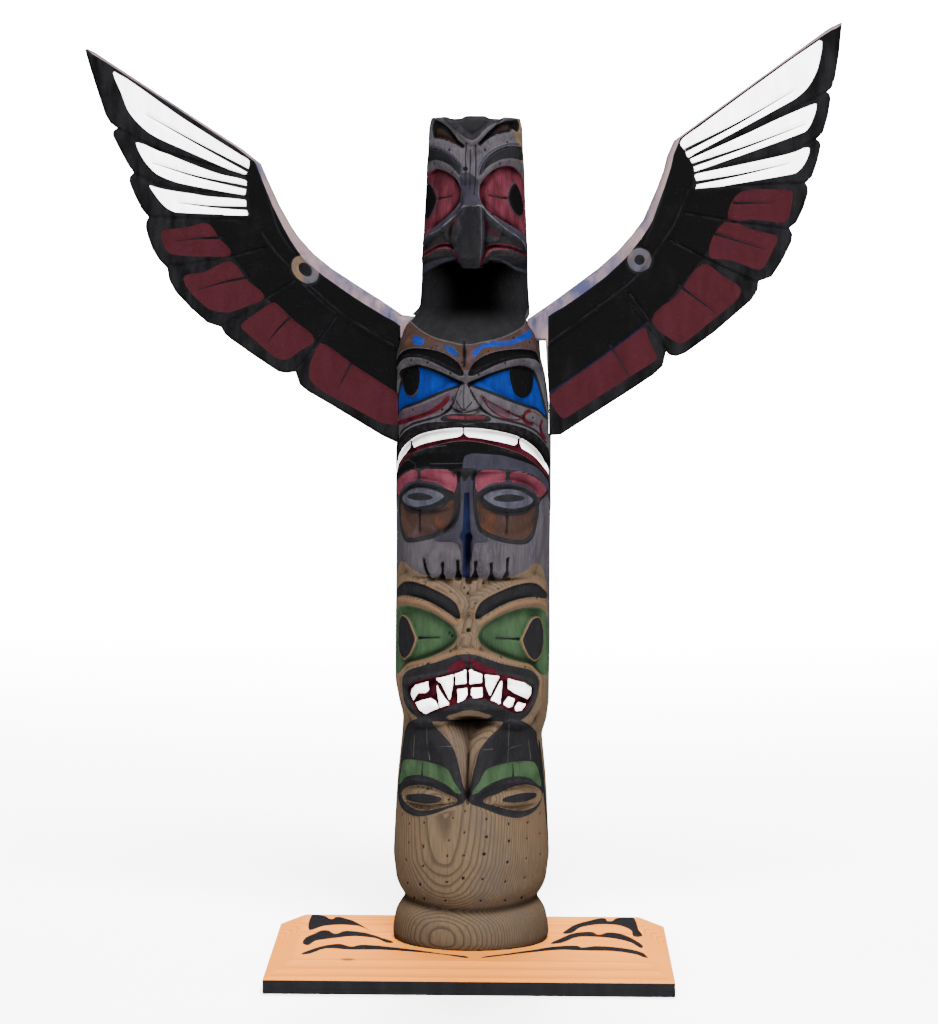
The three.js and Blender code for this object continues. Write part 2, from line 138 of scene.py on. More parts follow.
HEAD_MARKS = [
    ("fill", "violet", "pair", 0, 1, [(-12, 448), (120, 444), (120, 585), (-12, 585)]),
    ("fill", "ear", "right", 0, 1, [(29.6, 546), (31, 538), (33, 529), (37, 522), (46, 520), (54, 530), (54, 549),
        (40, 549)]),
    ("fill", "black", "whole", 0, 1, [(-15, 543.9), (-8.5, 539.4), (-4, 536), (0, 534), (2.6, 536), (5, 539.6),
        (9, 543.2), (15, 546), (24, 552), (24, 585), (-24, 585), (-24, 552)]),
    ("fill", "black", "left", -2.8, 2.2, [(4.6, 529.7), (8.6, 533.6), (12.6, 538.2), (18.6, 542.9), (26.8, 546),
        (35, 547.4), (37, 541), (33.4, 535.8), (24.6, 535), (16.6, 533.3), (9.4, 531)]),
    ("fill", "brown", "left", 0, 1, [(10, 531.8), (13.6, 535.4), (18.6, 538.8), (25, 541.2), (32, 541.8),
        (32.4, 536.6), (24.6, 535.8), (16.6, 534)]),
    ("fill", "black", "right", -2.8, 2.2, [(3.4, 531.2), (6, 536), (9.6, 540.2), (15.2, 544.2), (24, 546.6),
        (39, 547.6), (42.6, 545.4), (38, 540), (30.4, 541.4), (27.8, 539.6), (19.2, 538.4), (12.2, 536.6),
        (7, 533.6)]),
    ("fill", "brown", "right", 0, 1, [(12, 537.8), (15.8, 541.4), (21.7, 544.2), (28.6, 545), (28.6, 541),
        (19.2, 539.4)]),
    ("fill", "black", "left", -1.1, 1.0, [(5.4, 512.4), (5.6, 517.2), (9.3, 522), (15.1, 525.9), (22.1, 528.5),
        (32.4, 529.8), (49, 527.8), (44, 521), (27, 521.7), (19.1, 520.4), (13.3, 518), (8.3, 514.1), (6.6, 512.2)]),
    # Painted highlights along the left brow's edges, laid in slate paint
    ("line", "slate", "left", 0.8, 0.4, [(4.6, 512.6), (4.9, 517.8), (8.8, 523), (14.8, 527), (22, 529.6),
        (33, 531)]),
    ("line", "slate", "left", 0.5, 0.28, [(5.9, 512.9), (6.9, 517.7), (14.9, 524.6), (22, 527.2), (32.2, 528.5)]),
    ("fill", "black", "right", -1.1, 1.0, [(4, 512), (3.7, 515.5), (5.4, 519.9), (8.3, 524), (13.4, 527.8),
        (21.7, 530.5), (31.3, 530.5), (45, 528.8), (45, 522.5), (32.4, 522.5), (24.1, 523), (16.4, 521.9),
        (9.9, 518.9), (6.1, 515.6)]),
    # Painted highlights along the right brow's edges, laid in slate paint
    ("line", "slate", "right", 0.8, 0.4, [(3.2, 512), (2.9, 516), (4.6, 521), (7.6, 525.4), (13, 529), (21.6, 531.8),
        (32, 532)]),
    ("line", "slate", "right", 0.5, 0.28, [(4.8, 513.2), (5.4, 518), (8.5, 522.8), (14.3, 526.8), (23.1, 529.3),
        (33.2, 529)]),
    ("fill", "red", "left", -2.2, 3.0, [(37.4, 514.6), (30.1, 516.3), (20.7, 514.9), (13.6, 512.2), (9.1, 508.4),
        (7, 503.4), (7.1, 497.7), (9.2, 491.9), (14.4, 487), (21.6, 482.2), (31.2, 476.1), (40, 471.6), (56, 474),
        (60, 497), (54, 510)]),
    ("fill", "red", "right", -2.2, 3.0, [(3.6, 500), (4, 506), (7, 511.3), (11.8, 515.2), (18.5, 517.7),
        (26.7, 518.2), (34.7, 516.8), (43, 512.4), (52, 503), (60, 492), (62, 470), (41, 473.2), (31.1, 478.6),
        (21.2, 482.4), (13.5, 486.3), (7.8, 490.4), (4.5, 495.4)]),
    ("line", "crimson", "left", -0.3, 0.5, [(38, 473.4), (31.2, 476.7), (21.6, 482.8), (14.6, 487.6), (9.6, 492.2),
        (7.5, 498), (7.4, 503.2), (9.6, 508), (13.9, 511.7), (20.9, 514.3), (30.1, 515.4), (38, 513)]),
    ("line", "crimson", "right", -0.3, 0.6, [(51, 474.6), (41, 474.4), (31.3, 479.3), (21.4, 483), (13.8, 486.9),
        (8.2, 490.9), (4.9, 495.6), (4.1, 500.6), (4.6, 505.8), (7.4, 510.8), (12.1, 514.6), (18.7, 517),
        (26.7, 517.5), (34.4, 516.2), (42.6, 511.8), (51.4, 502.6), (58, 492)]),
    ("fill", "pupil", "left", 1.3, 0.9, [(42, 507), (36.5, 505), (32.6, 501.4), (29.6, 497.4), (32, 491.8),
        (36.4, 486.6), (42, 484.6), (50, 489), (51, 498), (48, 505)]),
    # Painted highlight along the left pupil's raised edge, laid in slate paint
    ("line", "slate", "left", 0.5, 0.4, [(42, 507.6), (36, 505.6), (32, 501.8), (28.9, 497.4), (31.6, 491.4),
        (36.2, 486)]),
    ("fill", "pupil", "right", 1.3, 0.9, [(26.4, 497.9), (28.6, 503.3), (33, 506.8), (37, 506.4), (40.4, 502.2),
        (44.4, 494), (43.6, 488.6), (38.4, 487), (33.4, 489.2), (29, 492.6)]),
    # Painted highlight along the right pupil's raised edge, laid in slate paint
    ("line", "slate", "right", 0.5, 0.45, [(37, 507), (32.8, 507.4), (28.1, 503.7), (25.8, 498), (28.4, 492.2),
        (33, 488.6), (38.4, 486.4)]),
    ("taper", "black", "left", -0.8, 0.8, [(28.8, 497.3), (22, 498), (14.6, 499)]),
    ("taper", "black", "right", -0.8, 0.9, [(25.6, 497.9), (19, 498.3), (10.6, 499.6)]),
    ("fill", "slate", "left", 0.5, 0.8, [(-3, 499), (4.2, 498), (6.8, 493.8), (11.2, 488.5), (19, 483.1),
        (28.3, 477.3), (38, 471.4), (38, 467), (27.2, 472), (17, 477.6), (9, 484), (3, 491), (-3, 491)]),
    ("fill", "slate", "right", 0.5, 0.8, [(-3, 499), (2.8, 498), (4.8, 493.9), (7.8, 489.6), (13.5, 485.8),
        (21.2, 481.9), (31, 477.4), (40.8, 473), (54, 472.4), (54, 457), (42, 462), (30, 468.6), (20, 474), (12, 480),
        (5, 489), (-3, 491)]),
    ("fill", "black", "left", 0, 0.8, [(-4, 492.3), (3.4, 492), (7.6, 486.4), (13.1, 481.1), (18.7, 477.2),
        (27.2, 473.7), (38, 469.6), (56, 462), (56, 430), (-4, 430)]),
    ("fill", "black", "right", 0, 0.8, [(-4, 492.3), (4, 492.3), (7.8, 487.4), (13.4, 481.6), (21.1, 476.4),
        (30.9, 471.2), (42.1, 464.8), (56, 459.6), (56, 430), (-4, 430)]),
    ("line", "rim", "left", 0.2, 0.3, [(0, 492.9), (3.6, 492.6), (7.9, 487), (13.4, 481.7), (19, 477.8),
        (27.4, 474.3), (38, 470.4)]),
    ("line", "rim", "right", 0.2, 0.35, [(0, 492.9), (4.2, 492.9), (8.1, 488), (13.7, 482.2), (21.4, 477),
        (31.1, 471.8), (42.3, 465.4)]),
    ("fill", "beak", "whole", 0, 0.8, [(-2.8, 491.6), (-5.8, 486), (-7.2, 479.4), (-7.6, 472.6), (-6.6, 466.6),
        (-4.4, 453.8), (0, 453), (3.7, 453.6), (3.9, 472), (3.8, 491.6)]),
    # Painted highlight down the beak's ridge, laid in slate paint
    ("line", "slate", "whole", 0.3, 0.25, [(3.95, 491.5), (4, 472), (3.9, 454.4)]),
    ("taper", "crimson", "left", -0.6, 0.9, [(6.8, 485), (9.4, 480), (12.6, 474.3)]),
    ("line", "crimson", "right", -0.8, 0.6, [(6.4, 485), (7, 481), (8.8, 477.4), (12.4, 474.8), (14.6, 473.5)]),
    ("line", "crimson", "left", -1.5, 0.95, [(6.8, 456.6), (7.4, 460), (8.8, 464.2), (11.2, 467), (15, 467.8),
        (20.9, 466.8), (28.4, 463.9), (40, 460.6)]),
    ("line", "crimson", "right", -1.5, 0.95, [(4.6, 456), (5.4, 459), (6.9, 462.4), (8, 465.4), (10.8, 467.1),
        (16.4, 467.2), (24.6, 466), (38.7, 462.6), (48, 461)]),
    ("line", "red", "left", 0.4, 0.5, [(8.4, 463.2), (10.6, 465.6), (14.8, 466.4), (20.6, 465.4), (28, 462.4),
        (38, 459.4)]),
    ("line", "red", "left", 0.2, 0.4, [(9.6, 466.8), (11.6, 468.6), (15, 469.4), (21.2, 468.6), (29, 465.6),
        (38, 462.4)]),
    ("line", "red", "right", 0.4, 0.45, [(6, 458.4), (7.6, 461.6), (9, 464.2), (11.4, 465.7), (16.4, 465.8),
        (22, 465.2)]),
    ("line", "red", "right", 0.2, 0.4, [(7.4, 467.2), (10.4, 468.8), (16.4, 468.9), (24.8, 467.8), (36, 465)]),
    # Painted highlight bands along the lower jaw, laid in slate paint
    ("fill", "slate", "left", 0.6, 0.9, [(9.3, 460.6), (15.8, 460.2), (26.5, 458), (38.9, 455), (50, 452), (50, 448),
        (38.9, 449.3), (25, 453.6), (15.8, 457), (9.1, 458.7)]),
    ("fill", "slate", "right", 0.6, 0.9, [(9, 460.4), (13.2, 460.8), (20.8, 458.4), (30.4, 454.5), (51.7, 451),
        (49.6, 448.6), (30.4, 451.5), (23.2, 454.4), (16.3, 458.2), (9.5, 458.8)]),
    ("fill", "slate", "whole", 0, 0.8, [(-6.4, 511), (-3, 514), (0, 513), (3, 508), (2.6, 500), (3.4, 494),
        (-4, 493.4), (-7.4, 496), (-6.8, 503)]),
    ("line", "black", "whole", -0.5, 0.3, [(-3.4, 532), (-3, 518), (-3.3, 506)]),
    ("line", "black", "whole", -0.4, 0.25, [(1.6, 531), (1.8, 516), (1.2, 500)]),
    ("line", "black", "whole", -0.4, 0.25, [(-0.8, 528), (-0.6, 514), (-1, 503)]),
]

HEAD_DOTS = [
    (-27.5, 531.5), (-13.5, 528), (-30, 519.5), (-13.5, 513.5), (22, 533), (6.5, 528), (16.5, 519.5),
    (-3, 516, 1.5), (-15, 488), (11.5, 487.5), (-29, 479.5), (25, 481),
]

UPPER_FACE_MARKS = [
    ("fill", "violet", "pair", 0, 1, [
        (-12, 256), (30, 258), (44, 263), (50, 266), (56, 264), (62, 258), (67, 248), (70, 232), (73, 205),
        (79, 186), (84, 60), (170, 60), (170, 440), (-12, 440)]),
    ("fill", "black", "pair", 0, 1, [(-12, 405.6), (0, 406), (3, 406), (8.5, 407.3), (20, 409.8), (31, 414),
        (40, 419), (50, 424), (70, 428), (170, 428), (170, 470), (-12, 470)]),
    ("fill", "brown", "pair", 0, 1, [(-12, 405.4), (0, 405.4), (3, 405.4), (8.5, 406.6), (20, 409), (31, 413.2),
        (41, 418.4), (52, 423), (62, 421), (70, 408), (69, 392), (60, 397.5), (52, 401), (42, 403.2), (31, 403.7),
        (20, 402.4), (12, 399.8), (5, 395), (1, 388.5), (-12, 388.5)]),
    ("fill", "blue", "whole", 0, 1, [(-39, 410.8), (-33, 409.5), (-31, 406), (-38, 404.5), (-42, 408)]),
    ("fill", "slate", "whole", 0, 1, [(-18, 406), (-10.5, 404.8), (-6.5, 400.5), (-5.5, 396.5), (-12, 399),
        (-17, 402.5)]),
    ("fill", "blue", "whole", 0, 1, [(-15.5, 404.5), (-10.5, 403.8), (-8, 400.5), (-7.5, 398.5), (-12, 400),
        (-14.5, 402.5)]),
    ("fill", "blue", "whole", 0, 1, [(2, 399), (3.5, 402.4), (8.5, 406), (16.5, 407.8), (27, 408.6), (36.5, 412.4),
        (47, 415), (48.5, 411), (37, 408.4), (28, 405.4), (17, 404.6), (8.5, 403.6), (4.4, 398.5)]),
    ("line", "black", "whole", -1.4, 0.7, [(-3.4, 407), (-3, 398), (-3.2, 392)]),
    ("fill", "violet", "pair", 0.9, 1.2, [(-8, 389), (1.5, 390), (8, 391.5), (19, 396), (31, 399), (42, 399.5),
        (52, 397.5), (62, 391), (70, 378), (74, 355), (66, 352), (62, 372), (56, 384), (49, 390), (40, 393.4),
        (30, 392.8), (18, 389), (8, 384.6), (0, 381.4), (-8, 381)]),
    ("fill", "pupil", "pair", -0.9, 0.9, [(1.2, 387), (5, 394.3), (12, 399), (20, 401.6), (31, 402.8), (42, 402.4),
        (52, 400.2), (60, 396.6), (69, 388), (64, 388.4), (55, 393.2), (47, 396), (38, 397), (29, 396.2),
        (19.5, 393.3), (11, 389.3), (4, 386)]),
    ("line", "brown", "pair", 0.3, 0.35, [(1.5, 389), (5.5, 395.6), (12, 400), (20, 402.5), (31, 403.7), (42, 403.2),
        (52, 401)]),
    ("fill", "black", "pair", -1.9, 2.2, [(0.6, 380.4), (8, 384.6), (17, 388.3), (26, 391), (35, 392.3), (42, 391.3),
        (50, 387.8), (57, 380.6), (62.5, 370), (68, 357), (61.5, 358.6), (53, 362.8), (43.5, 365), (33, 368),
        (24, 371.3), (14, 375.3), (5, 378.6)]),
    ("fill", "blue", "pair", 0, 0.8, [(3.4, 380.3), (9, 383.6), (17.5, 387), (26.5, 389.6), (35, 390.9),
        (41.6, 389.8), (49, 386.2), (55.4, 379.4), (60.6, 369.4), (65, 359.6), (61.5, 360.4), (53.5, 364.4),
        (43.8, 366.7), (33.5, 369.6), (24.4, 373), (14.5, 376.8), (6.5, 379.3)]),
    ("fill", "pupil", "whole", 0.9, 0.9, [(-57.5, 386), (-47, 390.6), (-37.6, 390.4), (-36.2, 386.5), (-36.6, 380),
        (-39, 374), (-45, 371.4), (-51.5, 373.4), (-56, 379.5)]),
    ("line", "brown", "whole", 0, 0.4, [(-37.6, 376.5), (-40, 373.6), (-45, 371.8), (-51, 373.8), (-55, 379.5),
        (-57, 385)]),
    ("fill", "pupil", "whole", 0.9, 0.9, [(27.6, 389.8), (34, 390.8), (40.4, 389.9), (47, 386), (47.2, 378.4),
        (43.2, 373.4), (37.6, 371.6), (31.8, 374), (28.8, 380)]),
    ("line", "black", "pair", -1.0, 0.75, [(1.2, 379.5), (5.2, 372.5), (10, 365.4), (17, 360.6), (27, 357.8),
        (40, 354.4), (52, 349.6), (64, 342)]),
    ("fill", "mauve", "whole", 0, 1, [(-64, 359), (-50, 363), (-36, 366), (-26, 369.5), (-16, 374), (-12, 375.6),
        (-14, 369.5), (-24, 363), (-38, 359), (-52, 356)]),
    ("fill", "crimson", "whole", 0, 2, [(-64, 353.5), (-50, 357.6), (-36, 360.6), (-28, 363), (-19, 368.5),
        (-12.5, 373.5), (-16.5, 366.2), (-28.5, 360), (-45, 355.6)]),
    ("line", "crimson", "whole", -0.4, 0.5, [(8, 373.8), (12, 370.4), (20, 366.2), (30, 361.4), (35, 358.8),
        (27, 358.6), (18.5, 361.6), (12, 367), (8, 373.8)]),
    ("fill", "mauve", "whole", 0, 1, [(9.6, 372.4), (13, 369.6), (20, 365.6), (28, 361.6), (26, 359.6), (18.8, 362.4),
        (12.8, 367.4)]),
    ("line", "crimson", "whole", -0.5, 1.3, [(44, 363.6), (39.4, 362.4), (37.6, 358.6), (40.8, 356), (46, 354.6)]),
    ("line", "crimson", "whole", -0.5, 1.4, [(57, 357), (54.6, 353), (56.4, 348.6), (62, 344.6)]),
    ("line", "ochre", "whole", 0, 0.5, [(41, 363.8), (47, 362.6), (53.5, 359.6)]),
    ("fill", "violet", "whole", 1.6, 1.4, [(-6, 380), (-3.5, 381), (-1, 380), (2, 374), (5, 369), (6.6, 366.6),
        (1.5, 364.8), (-3, 364.2), (-8, 364.8), (-11.4, 366.6), (-9.6, 371), (-8, 375)]),
    ("line", "slate", "whole", 0.3, 0.5, [(-3, 380), (-3.4, 372), (-3, 366)]),
    ("line", "black", "whole", -0.8, 0.4, [(-6, 379.6), (-7.8, 375), (-9.4, 370), (-11.6, 366.4), (-15.5, 362.6)]),
    ("line", "black", "whole", -0.7, 0.4, [(-7.6, 370.4), (-5.8, 366.8), (-3.2, 364.8), (-0.8, 366.4), (1.8, 369.6)]),
    ("line", "black", "whole", -0.5, 0.35, [(-10, 365.6), (-6, 363.4), (-3, 362.6), (1, 363.6), (6, 365.4)]),
    ("fill", "black", "whole", -0.6, 1, [(-19, 358.8), (-10, 362), (-2.5, 361.8), (5, 362.4), (14.5, 358.8),
        (6, 356.6), (-2.5, 355.8), (-12, 356.6)]),
    ("fill", "red", "whole", 0.6, 0.7, [(-15, 359.6), (-10.5, 361.2), (-3, 360.8), (5, 361.6), (11, 359.4),
        (4, 358.4), (-2.5, 358.1), (-9, 358.4)]),
    ("line", "crimson", "whole", -0.3, 0.3, [(-2.6, 362), (-2.4, 358)]),
    ("fill", "pupil", "pair", 1.3, 1.6, [(-12, 355.4), (0, 355.4), (9.5, 356.8), (25, 356), (39, 352.4), (51, 347.2),
        (64, 339.4), (72, 330), (67.5, 323), (59, 332), (48.5, 340.2), (34, 347.7), (21, 351.2), (9, 353.1),
        (0, 353.4), (-12, 353.4)]),
    ("fill", "white", "pair", -0.9, 0.8, [(-12, 353.2), (0, 353.2), (9, 352.9), (21, 351), (34, 347.5), (48.5, 340),
        (59, 332), (69, 321.5), (59, 328), (49.5, 334), (39, 339), (31.5, 341.8), (21, 344.4), (7.5, 346.9),
        (0, 347.3), (-12, 347.3)]),
    ("fill", "crimson", "pair", -0.9, 0.7, [(-12, 347.4), (0, 347.4), (7.5, 347), (21, 344.5), (31.5, 341.9),
        (39, 339.1), (49.5, 334.1), (59, 328.1), (70, 320.5), (68, 318.5), (57.5, 325), (44.5, 332.4), (34, 337.4),
        (21, 341.5), (9, 344.4), (0, 345.2), (-12, 345.2)]),
    ("fill", "crimson", "whole", -0.5, 0.5, [(-3.6, 353.6), (-3.1, 349.8), (-0.5, 347.6), (1.5, 346.6), (-8.5, 346.6),
        (-5, 348.4), (-4, 350)]),
    ("fill", "crimson", "whole", -0.5, 0.5, [(-43.6, 346), (-42.9, 342.4), (-41.4, 339.8), (-38, 337.6), (-49, 335.6),
        (-45.4, 339), (-44.2, 342)]),
    ("fill", "crimson", "whole", -0.5, 0.5, [(34.6, 347.2), (35.2, 343.6), (36.6, 340.4), (39.4, 338), (30.5, 341.4),
        (33, 342.8)]),
    ("fill", "pupil", "pair", 0.8, 1.5, [(-12, 345), (0, 345), (9, 344.2), (21, 341.3), (34, 337.2), (44.5, 332.2),
        (57.5, 324.8), (69, 318), (80, 306), (78, 298), (66, 309), (57, 315.5), (45, 321), (28, 325), (0, 325.6),
        (-12, 325.6)]),
    ("fill", "slate", "whole", 0.4, 1.0, [(-3, 335), (2, 337.4), (10, 337.2), (21, 336.2), (34, 332.6), (48.5, 327.6),
        (64, 318), (76, 306), (78, 299), (64, 309), (45, 319.6), (29.5, 324.5), (7.5, 325.6), (-2.6, 324)]),
    ("line", "slate", "whole", 0.3, 0.25, [(-62, 327), (-46, 335), (-30, 339.5), (-14, 342)]),
    ("line", "slate", "whole", 0.3, 0.25, [(-50, 330), (-44, 331.5), (-38, 329.5), (-37, 326.5)]),
    ("line", "slate", "whole", 0.3, 0.25, [(-25, 330), (-3, 331)]),
]

FACE_DOTS = [
    (-43.5, 408.5), (-56, 410.5), (-21.5, 404.5), (-25.5, 403), (29.5, 410), (42.5, 407), (45, 402),
    (12, 401.5), (-4.5, 394.5), (-42.5, 395), (-28, 394), (-12, 387.5), (6, 387), (23, 394),
    (-41.5, 363.5), (-17.5, 364.5), (-56.5, 362.5), (26, 363.5), (46.5, 359),
]

HAND_MARKS = [
    ("fill", "slate", "whole", 0.8, 1.4, [(-6, 325.4), (4.6, 325.4), (4.4, 303), (7, 290), (15, 282), (4, 279.5),
        (2, 259), (-3, 259), (-5, 279.5), (-17, 282), (-8.4, 290), (-5.6, 303)]),
    ("line", "black", "whole", -1.0, 0.7, [(-4.8, 325.5), (-4.4, 308), (-6, 296), (-11, 287.5)]),
    ("line", "black", "whole", -1.0, 0.7, [(3.8, 325.5), (3.6, 308), (5, 296), (10, 287.5)]),
    ("fill", "navy", "whole", -0.8, 0.8, [(-2, 312), (0.6, 312), (1.4, 290), (2.6, 284), (1.4, 280), (1.3, 258),
        (-2.4, 258), (-2.4, 280), (-4, 284), (-2.6, 290)]),
    ("fill", "black", "whole", -0.6, 0.8, [(-8, 327), (5, 327), (4.6, 321.5), (1.8, 320), (0.8, 323), (-2, 319),
        (-3.4, 322.5), (-5, 318), (-7, 321)]),
    ("fill", "black", "pair", 0.3, 1.0, [(5, 320), (6.2, 325.6), (9, 327), (26, 327.2), (42, 323.8), (55, 318),
        (66, 310.4), (63, 308.5), (53.5, 304.5), (51.6, 295.5), (47.2, 284.4), (41, 279), (30.5, 279.2),
        (17.4, 282.6), (8.4, 287.4), (4.6, 295.5), (3.6, 307.5)]),
    ("fill", "slate", "pair", 0.5, 0.8, [(6, 312.5), (12, 317.2), (20, 319.8), (31, 320), (41, 316.6), (50, 311),
        (53, 306.5), (50, 304), (44, 310), (36, 313.8), (27, 315.3), (17, 314.4), (8, 309.5)]),
    ("fill", "rose", "pair", -0.5, 0.7, [(7, 325.4), (25.4, 325.7), (25.4, 319.6), (17, 318.5), (11, 315.6),
        (6.6, 311.6)]),
    ("fill", "rose", "pair", -0.5, 0.7, [(29.2, 325.5), (40, 323.4), (52, 318.4), (62.5, 311.4), (55, 307.6),
        (50.6, 308.4), (45, 312.8), (37, 317.2), (29.2, 319.2)]),
    ("fill", "black", "pair", -0.3, 0.9, [(6.6, 311.2), (13, 315.4), (24.5, 317.6), (35, 315.7), (44, 311.3),
        (50, 306.2), (42.5, 300.6), (31, 298.9), (21, 299.9), (12.5, 304.2)]),
    ("fill", "lilac", "pair", 0.5, 0.7, [(11, 310.2), (17, 313.6), (26, 314.8), (34.5, 313.4), (42, 309.6),
        (45.8, 306), (39.5, 302.7), (30, 301.5), (19, 303.8), (13, 307.2)]),
    ("fill", "black", "pair", 0.2, 0.6, [(17.5, 308.6), (22, 310.6), (28, 311.1), (34, 310.1), (38.5, 308),
        (33, 306.5), (27, 306.2), (21, 306.9)]),
    ("fill", "brown", "pair", -0.7, 0.9, [(7, 308), (12.5, 302.6), (21, 298.8), (31, 297.7), (40.5, 298.9),
        (48.6, 303.4), (48, 294.5), (44.8, 286.4), (39.6, 281.8), (31, 281.8), (19, 285), (10.6, 289.6), (7.6, 297)]),
    ("taper", "black", "pair", -0.6, 1.1, [(27, 299.5), (27.4, 294), (27, 286)]),
    ("line", "lilac", "pair", 0.5, 0.5, [(53, 300), (51.5, 288), (47, 276), (43, 267)]),
]

FINGER_GAPS = [
    [(-31.6, 270), (-28.4, 263), (-24.4, 257), (-22.2, 257.2), (-27.4, 257.2), (-29.6, 260)],
    [(-16.8, 268), (-16.2, 261), (-14.8, 257.2), (-19.4, 257.2), (-17.8, 261)],
    [(-6.9, 269.8), (-5.6, 263), (-3.8, 257.4), (-8.2, 257.4), (-7.4, 263)],
    [(4.9, 269.4), (5.4, 263), (6.6, 257.4), (2.2, 257.4), (4, 263)],
    [(14.9, 268.2), (16.2, 261), (17.8, 257.2), (13, 257.2), (14.4, 261)],
    [(26.8, 271.6), (27, 263), (27.8, 257.2), (22.8, 257.2), (25.2, 262)],
]
FINGER_MARKS = [("fill", "black", "whole", -2.4, 1.0, gap) for gap in FINGER_GAPS]

BEAR_TEETH = [
    [(-41, 184.6), (-37.5, 188), (-26.5, 191.2), (-25.8, 185.5), (-28.4, 183.4), (-34.4, 182.8), (-36.5, 180.5),
        (-39, 177.5), (-41.8, 181.2)],
    [(-21.6, 193.2), (-8.6, 196.6), (-9.2, 189), (-11, 179), (-12.8, 182), (-17.2, 190)],
    [(-20.8, 191.2), (-17.5, 185.5), (-11.2, 177.2), (-18, 174.6), (-20, 184)],
    [(-37.5, 176.5), (-33, 178.4), (-24.5, 180.7), (-21, 179.2), (-18.4, 174.6), (-28.5, 169.8), (-34, 172.2)],
    [(-8, 196.8), (-0.6, 199.8), (-0.4, 190.8), (-7.6, 189.8)],
    [(1, 200.2), (9.6, 196.8), (9.5, 191.4), (1.4, 190.4)],
    [(-6.6, 187.2), (0, 188.2), (0.4, 184), (-1.5, 180.6), (-6, 178.8)],
    [(2.4, 188.2), (9.6, 188.6), (10.2, 182.6), (4.5, 181.6), (2.2, 183.5)],
    [(11, 196.8), (21.2, 195.2), (17, 187.5), (14.5, 182), (11.6, 189.5)],
    [(15, 180.4), (21, 191.5), (23.2, 193.8), (22.6, 185), (21.6, 177.2)],
    [(26.4, 193.8), (39.5, 190), (46.4, 186.2), (46.4, 182.5), (42.8, 178.8), (38.5, 180.8), (31.5, 183.8),
        (26.8, 187)],
    [(23, 177.4), (27, 182.2), (32.4, 180.2), (30, 175.3), (27.5, 174.6)],
    [(31.8, 174.8), (34.5, 178.2), (41.7, 176.2), (37.6, 172.2), (32.5, 172.2)],
]

